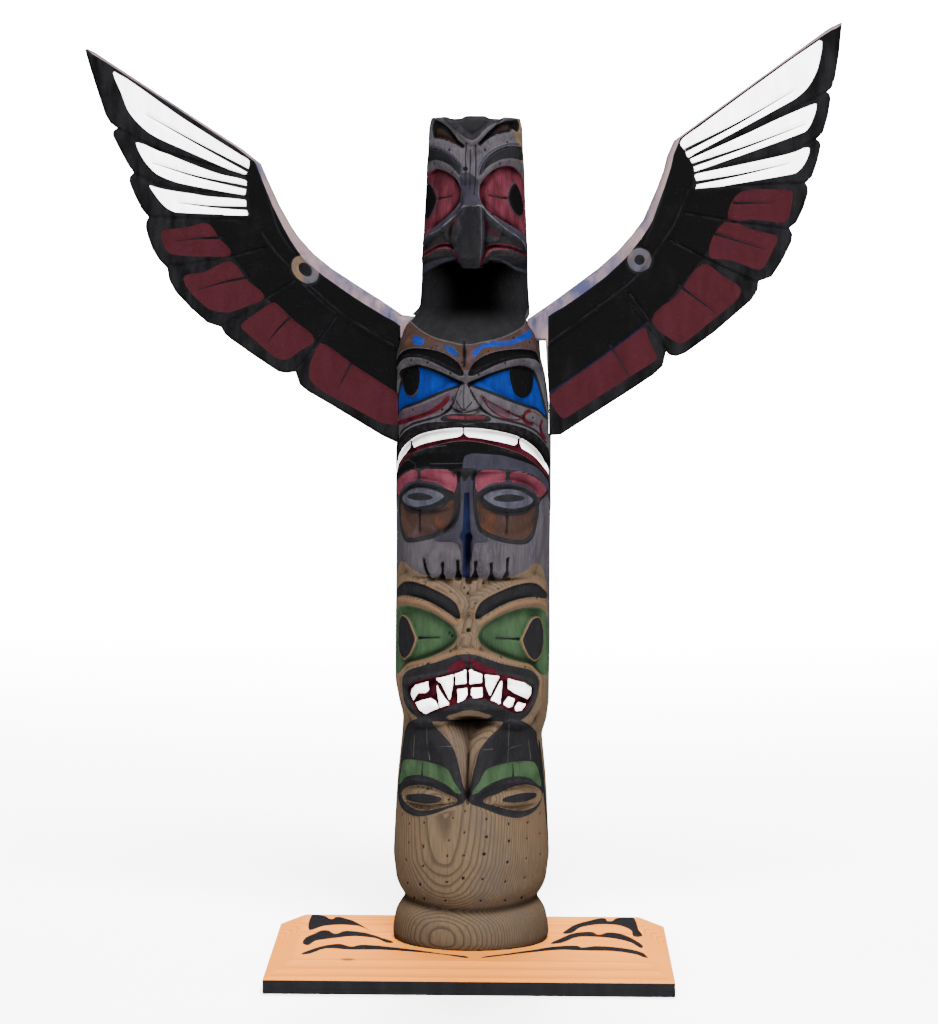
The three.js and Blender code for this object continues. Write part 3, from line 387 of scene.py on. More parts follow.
BEAR_MARKS = [
    ("fill", "wood", "pair", 0, 1, [(-12, 258.4), (0, 258.4), (20, 257.8), (30, 259), (42, 262.4), (50, 266),
        (56, 264), (62, 257), (66.5, 246), (70, 230), (73, 205), (79, 186), (84, 60), (84, 10), (-12, 10)]),
    ("fill", "black", "pair", -1.0, 0.9, [(5, 232), (5.6, 237.6), (8, 242), (13, 245.8), (22, 249.8), (32, 252.8),
        (43, 253.8), (52, 252.4), (61, 248), (67, 243), (61, 242.3), (52, 244), (42, 244.5), (30, 243), (20, 239.6),
        (12, 235.2)]),
    ("line", "tan", "pair", 0.3, 0.45, [(4.4, 231), (4.6, 238), (7.4, 243), (12.6, 246.9), (22, 250.9), (32, 253.9),
        (43, 254.9), (53, 253.4), (62, 248.6)]),
    ("line", "tan", "pair", 1.0, 1.4, [(7, 229), (13, 232.6), (21, 237.2), (31, 240.6), (43, 241.6), (54, 241),
        (64, 238)]),
    ("fill", "green", "pair", -2.1, 3.4, [(6.6, 221), (9.6, 226.8), (15.5, 231), (24, 235), (34, 237.4), (45, 238),
        (56, 236.6), (65.5, 232.6), (73, 225), (76, 210), (74, 194), (64, 192.4), (53, 195.4), (45, 198.6), (35, 203),
        (25, 207), (16, 211.4), (9, 216)]),
    ("fill", "tan", "pair", 1.6, 1.1, [(37.2, 217.6), (40.8, 223.6), (45.6, 229.8), (51, 231.6), (56, 231),
        (61, 226.4), (63, 218), (61.4, 208), (56.5, 204), (50.6, 202.6), (44.2, 205.8), (39, 212.4)]),
    ("fill", "black", "pair", -0.3, 0.5, [(38.7, 217.8), (42.1, 223.2), (46.5, 228.8), (51.4, 230.7), (55.8, 230.1),
        (60.1, 225.8), (62, 218), (60.4, 208.7), (55.8, 205), (50.6, 203.7), (44.8, 206.8), (40.4, 213)]),
    ("taper", "black", "pair", -0.8, 0.9, [(37, 218), (30, 218.6), (19.5, 219.4)]),
    ("line", "tan", "pair", 0.8, 1.1, [(0, 212), (6.5, 211), (14, 208.6), (23, 205.4), (36, 202.6), (49, 199),
        (57, 190.6), (56, 180)]),
    ("fill", "black", "whole", 0.5, 1.2, [(-51.5, 190.5), (-45, 196.2), (-33, 200.2), (-22.5, 203.2), (-12.5, 206.6),
        (-6.5, 209), (0, 209.8), (6, 209), (14, 206.2), (22, 203.4), (35.5, 200.2), (48, 196.6), (54.8, 189),
        (52.4, 180), (47.4, 173), (41, 168), (35.5, 166.2), (29, 165.6), (20, 166.4), (12, 166.8), (2, 166.6),
        (-8, 166.4), (-18, 166), (-29, 166), (-36, 167.6), (-44, 171.4), (-49.5, 177.5)]),
    ("fill", "crimson", "whole", -1.6, 1.0, [(-29, 169.2), (-38.5, 173.4), (-43, 179.5), (-44.5, 184.8), (-41, 188.8),
        (-33, 191.4), (-23.5, 193.8), (-12.5, 197.4), (-6, 198.8), (0, 201), (3, 200.4), (10, 198.8), (18.5, 196.8),
        (29, 195.2), (38.5, 191.4), (46.4, 187.4), (48.4, 183.5), (45.4, 177), (40.5, 172), (32.5, 171), (22, 175.6),
        (16.5, 178.2), (11.5, 180.6), (4.5, 181.6), (0, 180.8), (-6, 178.2), (-12.5, 175.2), (-20, 172.7)]),
    *(("tooth", "white", "whole", 1.5, 0.8, tooth) for tooth in BEAR_TEETH),
    ("fill", "crimson", "whole", 0, 0.8, [(-13, 199), (-6.5, 205), (-2.6, 206), (-1.6, 201.6), (-8, 199.2)]),
    ("fill", "crimson", "whole", 0, 0.8, [(2, 206), (6, 205.4), (12.5, 201.8), (19.5, 198), (10, 199.2),
        (4.5, 201.6)]),
    ("line", "crimson", "whole", -0.6, 0.5, [(0.6, 208), (0.6, 200)]),
    ("fill", "mauve", "whole", 0.6, 1.0, [(-14, 168.6), (-7, 172.2), (-1, 174.2), (6, 174), (11, 172.4),
        (16.4, 169.8), (8, 168), (-3, 167.6)]),
    ("fill", "wood", "whole", 0, 1.0, [(-12.4, 168.9), (-6.5, 171.8), (-1, 173.6), (6, 173.4), (10.6, 171.8),
        (14.8, 169.9), (8, 168.5), (-3, 168)]),
]

BEAR_DOTS = [
    (-29, 253.5), (-2.5, 252), (0, 248.5), (-11, 249), (5, 242), (10, 255), (20, 251), (35.5, 242),
    (16.5, 234.5), (51.5, 243), (-12.5, 222.5), (-10.5, 221), (-11, 211), (0, 211.5), (-27, 202.5),
    (22, 207.5), (41, 200.5), (-48.5, 197.5), (0.5, 225, 1.5),
]

TAIL_MARKS = [
    ("fill", "black", "pair", 0.7, 1.0, [(0.6, 117), (2.6, 127), (4.8, 137), (8, 148), (13.5, 155.8), (20.5, 162),
        (26.5, 167.6), (38, 165.6), (46, 161.4), (53, 156), (57.6, 146), (60, 133), (64, 118), (57, 112), (30, 112)]),
    ("fill", "black", "whole", 0, 1, [(60, 151), (66, 146), (70, 120), (74.5, 86), (72, 84), (66, 112), (60, 128)]),
    ("fill", "green", "pair", -0.6, 0.9, [(3.6, 119.4), (8, 128.4), (12, 135.8), (20, 138.8), (32, 140.2),
        (48, 138.8), (53.6, 134), (60.6, 121.4), (54, 122.2), (46, 127.2), (36, 129.9), (25, 129.6), (13, 125.4)]),
    ("taper", "black", "pair", -0.5, 0.8, [(31, 129), (31.4, 133), (31, 138)]),
    ("fill", "black", "pair", 0.5, 0.9, [(0.6, 116.6), (12.5, 122.6), (24.5, 127.3), (36, 128.4), (46, 126.2),
        (55.4, 121.6), (62, 115.5), (57, 109.6), (47, 105.1), (35, 103.4), (23, 105.9), (11, 110.9)]),
    ("fill", "wood", "whole", -0.9, 0.9, [(-5.6, 116), (-13, 120.2), (-24, 123.8), (-34, 124), (-45, 120.8),
        (-51.5, 116.4), (-46, 110.8), (-36, 107.8), (-25, 108.4), (-13, 112)]),
    ("fill", "wood", "whole", -0.9, 0.9, [(10.4, 116), (19, 119.8), (30, 123.8), (41, 124.5), (53, 121),
        (60.5, 115.6), (54, 110), (41, 107.8), (29, 109.2), (17, 112.8)]),
    ("fill", "black", "whole", 0.5, 0.7, [(-46, 114.4), (-38, 117.6), (-29, 118.8), (-20, 118), (-15.6, 116.6),
        (-20, 113.8), (-29, 112.4), (-38, 112.8)]),
    ("fill", "black", "whole", 0.5, 0.7, [(22.8, 116), (30, 118.4), (38, 119.2), (46, 118.6), (52.6, 116.4),
        (46, 114.2), (37, 113.4), (28, 114)]),
    ("line", "scratch", "whole", 0, 0.3, [(-27, 161.5), (-26.5, 151.5), (-24.5, 141)]),
    ("line", "scratch", "whole", 0, 0.25, [(-37, 155.5), (-38, 141.5)]),
    ("line", "scratch", "whole", 0, 0.3, [(-18, 150), (-4.5, 151)]),
    ("line", "scratch", "whole", 0, 0.3, [(27.5, 164), (27, 149), (26.5, 139)]),
    ("line", "scratch", "whole", 0, 0.25, [(43, 153), (45.5, 140)]),
    ("line", "scratch", "whole", 0, 0.3, [(9, 148.5), (16.5, 149)]),
    ("line", "scratch", "whole", 0, 0.25, [(28, 149), (37, 150.5)]),
    ("line", "brown", "whole", -0.9, 0.35, [(1, 146), (0.6, 132), (0, 118)]),
]

TAIL_DOTS = [
    (-43, 97.5), (-29.5, 100), (-9, 104.5), (-1, 109), (13, 104), (28, 100), (44, 99.5), (58.5, 103.5),
    (-52, 102.5), (-43.5, 85.5), (-30, 84.5), (-11.5, 90), (-1.5, 95.5), (13, 92.5, 1.1),
    (28.5, 89, 1.1), (43.5, 89), (58, 90.5), (-46.5, 73.5), (-30, 72), (-12.5, 80), (-1.5, 80.5),
    (11.5, 81.5, 1.2), (27.5, 75.5, 1.1), (43, 76.5), (59, 77), (-44.5, 59), (-32.5, 59.5, 1.1), (-12.5, 63),
    (-2, 66, 1.1), (10.5, 65.5), (26, 63), (41.5, 64), (-37.5, 50.5), (-29, 51), (-13.5, 51), (9.5, 51.5),
    (26, 51), (39, 51.5, 1.1), (-26.5, 122), (-11.5, 116),
]

# ------------------------------------------------------------------- wings
# The two edges of a wing in matched runs: feather ends below, arm and leading edge above.
# Points are distance from the pole's middle and height, in mm.

LEFT_RUNS = [
    ([(34, 407), (48.5, 407)], [(34, 421), (46.8, 422.6)]),
    ([(48.5, 407), (48.5, 341)], [(46.8, 422.6), (53.3, 427)]),
    ([(48.5, 341), (58.7, 345.5), (93.1, 365.4), (107, 373), (112.6, 377.5), (115.3, 385.6)],
     [(53.3, 427), (61.7, 432.5), (77, 442)]),
    ([(115.3, 385.6), (121, 384.6), (126.4, 385.5), (142.1, 395.5), (157.9, 406.3), (162, 409.8), (164, 413.7)],
     [(77, 442), (93.4, 452.6), (104, 461)]),
    ([(164, 413.7), (173, 416.4), (184.2, 425.9), (194.1, 436.2), (198.4, 444), (199.6, 451.3)],
     [(104, 461), (105.8, 462.7), (114.9, 472.9), (119, 479)]),
    ([(199.6, 451.3), (204.9, 456.7), (209.5, 464), (212.6, 472.2), (214, 478), (213.6, 481.6), (212, 484.4)],
     [(119, 479), (121.4, 483.1), (127, 493)]),
    ([(212, 484.4), (216.6, 489.6), (221, 498), (224.8, 507), (224.4, 510.6), (221.9, 512.9)],
     [(127, 493), (131.9, 503.5), (134.5, 509)]),
    ([(221.9, 512.9), (225.8, 518.5), (231.6, 529), (235.7, 537), (235.4, 540), (232.7, 541.7)],
     [(134.5, 509), (139.1, 519.5)]),
    ([(232.7, 541.7), (237.2, 545), (240.8, 551), (248.9, 575.2), (254, 591.9)],
     [(139.1, 519.5), (151.5, 529), (199.4, 559.7), (247.6, 590.6), (252.9, 593.2)]),
]

RIGHT_RUNS = [
    ([(34, 407), (45.6, 407)], [(34, 420.2), (45.6, 428.3)]),
    ([(45.6, 407), (48.3, 368), (48.5, 346.5)], [(45.6, 428.3), (52.7, 433.3)]),
    ([(48.5, 346.5), (55.9, 347), (102.7, 376.9), (115, 385), (121.4, 391), (123.8, 401.9)],
     [(52.7, 433.3), (80.1, 453.8)]),
    ([(123.8, 401.9), (125, 398), (130, 397), (136.1, 399.3), (154.8, 412.8), (178.7, 433.4), (182.6, 439.9),
      (183.2, 445.4)],
     [(80.1, 453.8), (91.5, 464), (100.5, 474.3)]),
    ([(183.2, 445.4), (191.6, 448.3), (198.7, 459.3), (204.4, 471), (205, 476), (203, 479.9)],
     [(100.5, 474.3), (108.1, 484.5)]),
    ([(203, 479.9), (207.6, 483.6), (212, 493), (214.9, 502.5), (214.6, 506.6), (213.1, 508.9)],
     [(108.1, 484.5), (116.9, 505)]),
    ([(213.1, 508.9), (217.4, 513.2), (221, 524), (222.8, 533), (222, 535.8), (219.9, 537.2)],
     [(116.9, 505), (121.2, 517)]),
    ([(219.9, 537.2), (224.2, 541.6), (227.2, 552), (228.9, 563), (228.2, 566.2), (226.4, 567.5)],
     [(121.2, 517), (123.1, 525.4), (127.6, 535.7)]),
    ([(226.4, 567.5), (229.6, 570.6), (231.6, 577), (234, 593), (235.3, 608.5)],
     [(127.6, 535.7), (226.8, 608.4), (235.7, 612.7)]),
]

LEFT_WING_MARKS = [
    ("fill", "arm", "whole", 1.2, 1.2, [(149, 536), (146.4, 503), (144.5, 484.2), (140.3, 474), (131.1, 461.9),
        (121.3, 451.7), (87.5, 422.6), (51, 401), (44, 404), (44, 440), (90, 480), (130, 540)]),
    ("fill", "covert", "whole", 0.6, 0.9, [(146, 486), (171.7, 480.8), (156.6, 459.1), (133.7, 432.3), (99.8, 405.2),
        (51.8, 374.5), (40, 372), (40, 400), (87.5, 422.6), (121.3, 451.7), (140, 474)]),
    ("fill", "white", "whole", -0.4, 0.5, [(234.4, 578.4), (230, 564), (224.4, 551), (211, 538), (188, 527.4),
        (149.2, 511), (146.4, 515), (145.4, 520.6), (147.8, 522.8), (190, 549)]),
    ("fill", "white", "whole", -0.4, 0.5, [(219.6, 533), (217.4, 524.6), (212, 517), (205.6, 511.4), (191.1, 506),
        (148.7, 498.6), (147.4, 503.2), (147.8, 508.6), (165, 512.6), (185, 519.6)]),
    ("fill", "white", "whole", -0.4, 0.5, [(211, 505.6), (207, 497.6), (200.6, 490.6), (193.2, 487.2), (146.2, 485.8),
        (147.4, 490.4), (148.2, 496.2), (176, 498.6)]),
    ("taper", "black", "whole", -0.8, 1.35, [(146.4, 514.6), (181, 532.6), (213.6, 550.4)]),
    ("taper", "black", "whole", -0.8, 1.35, [(147.6, 503.8), (180, 510.6), (209.4, 519.4)]),
    ("taper", "black", "whole", -0.8, 1.35, [(147, 490.4), (170, 491.4), (192, 493.8)]),
    ("fill", "red", "whole", -0.4, 0.6, [(204, 473.8), (201.4, 476.6), (186, 478.4), (173.1, 481), (165, 471),
        (157.3, 460.6), (171, 459), (184.9, 459), (197.4, 460.4), (201, 464)]),
    ("fill", "red", "whole", -0.4, 0.6, [(189.4, 445), (175, 449.6), (157.9, 456.6), (146, 444), (135, 433),
        (145, 428), (157.9, 423.2), (168, 423.6), (175, 427)]),
    ("fill", "red", "whole", -0.4, 0.6, [(151, 413.4), (150, 417), (133.7, 428.6), (128.5, 430), (115, 418),
        (102.4, 406.4), (112, 399), (120.6, 393.2), (127, 393.8), (134, 398.6)]),
    ("fill", "red", "whole", -0.4, 0.6, [(106.6, 388.4), (104, 396), (98.7, 404.8), (75, 389.4), (49, 373.4),
        (40, 368), (40, 353), (54, 352.8), (60.7, 354), (80, 364), (100, 374.6), (106, 381)]),
    ("taper", "black", "whole", -0.8, 1.0, [(163, 471.4), (178, 470.8), (194.5, 469)]),
    ("taper", "black", "whole", -0.8, 1.0, [(147, 446), (163, 442.6), (179.5, 437.6)]),
    ("taper", "black", "whole", -0.8, 1.0, [(119, 420.6), (126, 413.6), (134, 404)]),
    ("taper", "black", "whole", -0.8, 0.9, [(79, 391.6), (83, 384), (87.6, 375)]),
    ("line", "black", "whole", -1.5, 0.8, [(232.7, 541.7), (205, 527.6), (172, 518.4), (146, 510.4)]),
    ("line", "black", "whole", -1.5, 1.5, [(221.9, 512.9), (209, 505.6), (190, 501.8), (172, 500), (147, 497)]),
    ("line", "black", "whole", -1.5, 0.8, [(212, 484.4), (180, 483.2), (150, 482.8)]),
    ("line", "black", "whole", -1.5, 0.8, [(199.4, 452.5), (180, 455), (156.6, 459.2), (135.6, 465.2)]),
    ("line", "black", "whole", -1.5, 0.8, [(163.8, 413.9), (148, 423), (134, 432.6), (115.6, 444.2)]),
    ("line", "black", "whole", -1.5, 0.8, [(115.3, 386.3), (107, 395), (99.8, 405.4), (88, 422)]),
    ("line", "black", "whole", -0.7, 0.6, [(138, 476), (129, 463.6), (119, 453.2), (86, 424.6), (51, 403.4)]),
    ("line", "black", "whole", -0.9, 0.7, [(133, 498), (127, 478), (118, 464), (112, 458)]),
    ("fill", "black", "whole", -0.9, 0.7, [(117.2, 459.8), (110.2, 462), (102.6, 458.2), (98.6, 450), (100.8, 443.2),
        (107.8, 441), (115.6, 445), (119.4, 452.8)]),
    ("fill", "disc", "whole", 0.9, 0.6, [(116.2, 458.7), (110.2, 460.5), (103.5, 457), (100, 450.3), (101.8, 444.3),
        (107.8, 442.5), (114.5, 446), (118, 452.7)]),
    ("fill", "black", "whole", -0.7, 0.6, [(112.6, 455.4), (109.4, 456.2), (105.6, 453.8), (104.2, 450.2),
        (105.4, 447.2), (108.6, 446.8), (112.2, 449.2), (113.6, 452.6)]),
]

RIGHT_WING_MARKS = [
    ("fill", "arm", "whole", 1.2, 1.2, [(138, 550), (139.6, 522), (138.9, 503.9), (129.4, 480.1), (121.8, 469.2),
        (113.5, 455.8), (97.6, 439.7), (46.5, 402.7), (40, 404), (40, 440), (80, 470), (118, 550)]),
    ("fill", "covert", "whole", 0.6, 0.9, [(140, 505), (172.5, 504), (161, 484), (146.2, 460), (112, 420),
        (48.7, 375), (36, 372), (36, 398), (97.6, 439.7), (121.8, 469.2), (138, 503)]),
    ("fill", "white", "whole", -0.4, 0.5, [(221, 601), (220.4, 583.3), (213.8, 570.2), (203.9, 561.6), (136.4, 524.6),
        (134.4, 529), (131, 533.2), (133.6, 537.6)]),
    ("fill", "white", "whole", -0.4, 0.5, [(218.8, 560.4), (218.3, 551.9), (212, 541.4), (140.9, 515.4),
        (139.8, 519.4), (138, 524), (175, 541.4)]),
    ("fill", "white", "whole", -0.4, 0.5, [(214.6, 532.2), (213.1, 522.4), (205.5, 514.6), (141.9, 503.6),
        (141.8, 508.4), (141, 514.2), (176, 522)]),
    ("taper", "black", "whole", -0.8, 1.35, [(134.4, 529.2), (168, 546.6), (204.4, 568)]),
    ("taper", "black", "whole", -0.8, 1.35, [(139.4, 519.8), (176, 532.6), (212.4, 546.8)]),
    ("taper", "black", "whole", -0.8, 1.35, [(141.4, 508.4), (170, 513.8), (201.6, 521.4)]),
    ("fill", "red", "whole", -0.4, 0.6, [(170.9, 503.2), (204, 504.2), (205, 500), (202.9, 486.6), (200, 483.6),
        (195.1, 483), (178, 485), (162.7, 484.6)]),
    ("fill", "red", "whole", -0.4, 0.6, [(161, 484.2), (178, 479.2), (194.4, 475.4), (195.6, 472), (187.4, 455),
        (184, 452.8), (180.4, 453), (165, 458.6), (150, 461.9)]),
    ("fill", "red", "whole", -0.4, 0.6, [(146.3, 456.8), (160, 449), (171.6, 441.4), (170.2, 434.4), (153, 419.6),
        (135.9, 406), (130.2, 405.6), (113.5, 420.4), (130, 437)]),
    ("fill", "red", "whole", -0.4, 0.6, [(108.5, 416), (113, 407), (117.8, 396.8), (116, 393.6), (87, 375.4),
        (58.9, 357.3), (55, 358.6), (48.4, 372.4)]),
    ("taper", "black", "whole", -0.8, 1.0, [(166, 495.7), (178, 495.8), (192, 495.8)]),
    ("taper", "black", "whole", -0.8, 1.0, [(153, 476.2), (169, 471.4), (187, 465.8)]),
    ("taper", "black", "whole", -0.8, 1.0, [(131, 443), (143, 434), (156.6, 424.2)]),
    ("taper", "black", "whole", -0.8, 1.0, [(87, 404.4), (93, 395), (100.6, 382.2)]),
    ("line", "black", "whole", -1.5, 0.8, [(226.4, 567.5), (208, 557.6), (176, 541.8), (138, 524.6)]),
    ("line", "black", "whole", -1.5, 0.8, [(219.9, 537.2), (206, 529.6), (178, 522.8), (141, 514.8)]),
    ("line", "black", "whole", -1.5, 0.8, [(212.9, 508.6), (176, 507), (141, 504)]),
    ("line", "black", "whole", -1.5, 0.8, [(203, 478.8), (182, 481.6), (161, 484.4), (134, 489)]),
    ("line", "black", "whole", -1.5, 0.8, [(182.5, 444.4), (164, 452.4), (146.2, 461), (125, 471.8)]),
    ("line", "black", "whole", -1.5, 0.8, [(123.8, 400.8), (118, 410), (112, 420.4), (99.6, 437.4)]),
    ("line", "black", "whole", -0.7, 0.6, [(136.6, 504), (127.2, 481), (119.6, 470), (111.4, 457), (96, 441.6),
        (46, 404.8)]),
    ("line", "black", "whole", -0.9, 0.7, [(121, 503), (116, 488), (110.6, 474), (108, 467)]),
    # Painted sheen along the lower edge of the raised coverts, laid in navy
    ("line", "painted_sheen", "whole", -0.3, 0.5, [(48, 373.6), (80, 395.6), (109, 417)]),
    ("fill", "black", "whole", -0.9, 0.7, [(96, 459), (98.6, 465.4), (105.4, 468), (112, 465.4), (114.8, 459),
        (112, 452.4), (105.4, 449.8), (98.6, 452.4)]),
    ("fill", "disc", "whole", 0.9, 0.6, [(97.6, 459), (99.8, 464.4), (105.4, 466.6), (111, 464.4), (113.2, 459),
        (111, 453.4), (105.4, 451.2), (99.8, 453.4)]),
    ("fill", "black", "whole", -0.7, 0.6, [(101.8, 459), (103, 461.6), (105.6, 462.6), (108.2, 461.4), (109.2, 459),
        (108.2, 456.6), (105.6, 455.4), (103, 456.4)]),
    ("fill", "chip", "whole", 0, 0.5, [(111.4, 483.4), (113, 484.4), (112, 480.6), (110.6, 481)]),
    ("fill", "chip", "whole", 0, 0.5, [(105, 474.6), (106.4, 476.4), (106.6, 472.6), (105, 472.4)]),
    ("fill", "chip", "whole", 0, 0.5, [(98.6, 465.6), (99.6, 468.4), (100.2, 465.4), (99, 464)]),
]

# Brushed strokes on the board, mm from its middle
BASE_STROKES = [
    [(-106.3, 19.3), (-107, 74.5), (-98, 68), (-93.5, 58), (-90, 66), (-84, 60), (-78.2, 51.5), (-64.8, 14.4),
        (-74, 34), (-86, 38.5), (-97, 34)],
    [(-105.4, -31), (-107.4, -8), (-102, 8), (-95.4, 20), (-88.4, 8), (-82, 18), (-68.5, 11), (-58, -4), (-50.5, -22),
        (-62, -6), (-76, 0), (-90, -8), (-100, -16)],
    [(-105.5, -61.5), (-100, -42), (-92, -30), (-83.8, -26), (-76, -34), (-70, -28), (-57.2, -31.4), (-34.4, -43.2),
        (-18, -54), (0, -66.2), (-18, -57), (-34.2, -50), (-57, -43.5), (-76.3, -44), (-92, -41)],
    [(62.1, 13.2), (64.6, 34), (69.9, 48), (80, 62), (88, 69.5), (91.6, 58.5), (97, 70), (107.6, 75), (110, 30),
        (109, 5), (105, 28), (97, 45), (84, 47), (72, 36)],
    [(53.6, -20.6), (60, 2), (68, 17), (79, 21.4), (83.5, 12), (90, 20), (98.4, 14.8), (107, -6), (110.6, -31),
        (104, -14), (96, -3), (84, 4), (70, 4)],
    [(7, -66), (24, -52.5), (40, -40), (52, -30), (62, -25.6), (69, -25.6), (72, -31), (80, -26), (92, -28.2),
        (104.5, -37), (111, -48), (112, -61), (106, -52), (92, -42), (74, -41), (58, -39), (40, -47.4), (22, -58.4)],
]

POLE_PAINTS = (
    "violet", "ear", "lilac", "slate", "brown", "tan", "mauve", "green", "blue", "red", "rose", "white",
    "black", "beak", "pupil", "crimson", "navy",
)
POLE_LINES = ("brown", "ochre", "tan", "lilac", "slate", "black", "crimson", "red", "rim", "scratch")
WING_PAINTS = ("arm", "covert", "white", "red", "black", "disc", "chip", "strip")
WING_LINES = ("black", "painted_sheen")


# ------------------------------------------------------------- distance helpers

def smooth_step(value, low, high):
    t = np.clip((value - low) / (high - low), 0.0, 1.0)
    return t * t * (3.0 - 2.0 * t)


def rounded_path(points, closed, steps=4):
    """Catmull-Rom curve through the points, kept close to them at sharp corners."""
    p = np.array(points, dtype=float)
    if len(p) < 3:
        return p
    if closed:
        p = np.vstack([p[-1:], p, p[:2]])
    else:
        p = np.vstack([2 * p[0] - p[1], p, 2 * p[-1] - p[-2]])
    out = []
    for i in range(1, len(p) - 2):
        a, b, c, d = p[i - 1], p[i], p[i + 1], p[i + 2]
        length = np.linalg.norm(c - b)
        near_b, near_c = (min(length, np.linalg.norm(v) * 2) for v in (b - a, d - c))
        t1 = (c - a) / max(np.linalg.norm(c - a), 1e-6) * near_b * 0.85
        t2 = (d - b) / max(np.linalg.norm(d - b), 1e-6) * near_c * 0.85
        for k in range(steps):
            t = k / steps
            h = t * t * (3 - 2 * t)
            out.append(b * (1 - h) + c * h + t1 * (t * (1 - t) ** 2) - t2 * (t * t * (1 - t)))
    if not closed:
        out.append(p[-2])
    return np.array(out)


def path_distance(x, y, path, closed):
    """Distance to a polyline, and how far along it the nearest point lies, from 0 to 1."""
    ends = np.vstack([path, path[:1]]) if closed else path
    best = np.full(x.shape, 1e9)
    along = np.zeros(x.shape)
    count = len(ends) - 1
    for i in range(count):
        ax, ay = ends[i]
        dx, dy = ends[i + 1] - ends[i]
        length2 = dx * dx + dy * dy
        if length2 < 1e-9:
            continue
        t = np.clip(((x - ax) * dx + (y - ay) * dy) / length2, 0.0, 1.0)
        d = np.hypot(x - ax - t * dx, y - ay - t * dy)
        nearer = d < best
        best = np.where(nearer, d, best)
        along = np.where(nearer, (i + t) / count, along)
    return best, along


def inside_distance(x, y, path):
    """Signed distance to a closed outline, positive inside."""
    d, _ = path_distance(x, y, path, True)
    inside = np.zeros(x.shape, dtype=bool)
    following = np.roll(path, -1, axis=0)
    for (ax, ay), (bx, by) in zip(path, following):
        if ay == by:
            continue
        crosses = (ay > y) != (by > y)
        inside ^= crosses & (x < (bx - ax) * (y - ay) / (by - ay) + ax)
    return np.where(inside, d, -d)


def line_offset(x, y, path):
    """Distance to a line, place along it from 0 to 1, signed offset, and distance past its ends."""
    best = np.full(x.shape, 1e9)
    along, side, over = np.zeros(x.shape), np.zeros(x.shape), np.zeros(x.shape)
    steps = np.hypot(*np.diff(path, axis=0).T)
    starts = np.concatenate([[0], np.cumsum(steps)])
    for i, step in enumerate(steps):
        if step < 1e-6:
            continue
        (ax, ay), (dx, dy) = path[i], (path[i + 1] - path[i]) / step
        t = (x - ax) * dx + (y - ay) * dy
        perp = (x - ax) * dy - (y - ay) * dx
        held = np.clip(t, 0, step)
        d = np.hypot(perp, t - held)
        nearer = d < best - 1e-9
        best = np.where(nearer, d, best)
        along = np.where(nearer, (starts[i] + held) / starts[-1], along)
        at_end = ((i == 0) & (t < 0)) | ((i == len(steps) - 1) & (t > step))
        side = np.where(nearer, np.where(at_end, perp, np.copysign(d, perp)), side)
        over = np.where(nearer, np.where(at_end, np.abs(t - held), 0.0), over)
    return best, along, side, over


def write_layer(mesh, name, values):
    layer = mesh.attributes.new(name, "FLOAT", "POINT")
    layer.data.foreach_set("value", values.astype(np.float32))


def hollows(values, row, column, rows, around, spread):
    """How far each vertex lies below the surface round it, in mm; the columns wrap round."""
    grid = np.zeros((rows + 1, around))
    grid[row, column] = values
    grid[0] = grid[1]
    grid[rows] = grid[rows - 1]
    reach = int(3 * spread)
    kernel = np.exp(-0.5 * (np.arange(-reach, reach + 1) / spread) ** 2)
    kernel /= kernel.sum()
    soft = np.pad(grid, ((reach, reach), (0, 0)), mode="edge")
    soft = sum(k * soft[i:i + rows + 1] for i, k in enumerate(kernel))
    soft = np.pad(soft, ((0, 0), (reach, reach)), mode="wrap")
    soft = sum(k * soft[:, i:i + around] for i, k in enumerate(kernel))
    return soft[row, column] - values


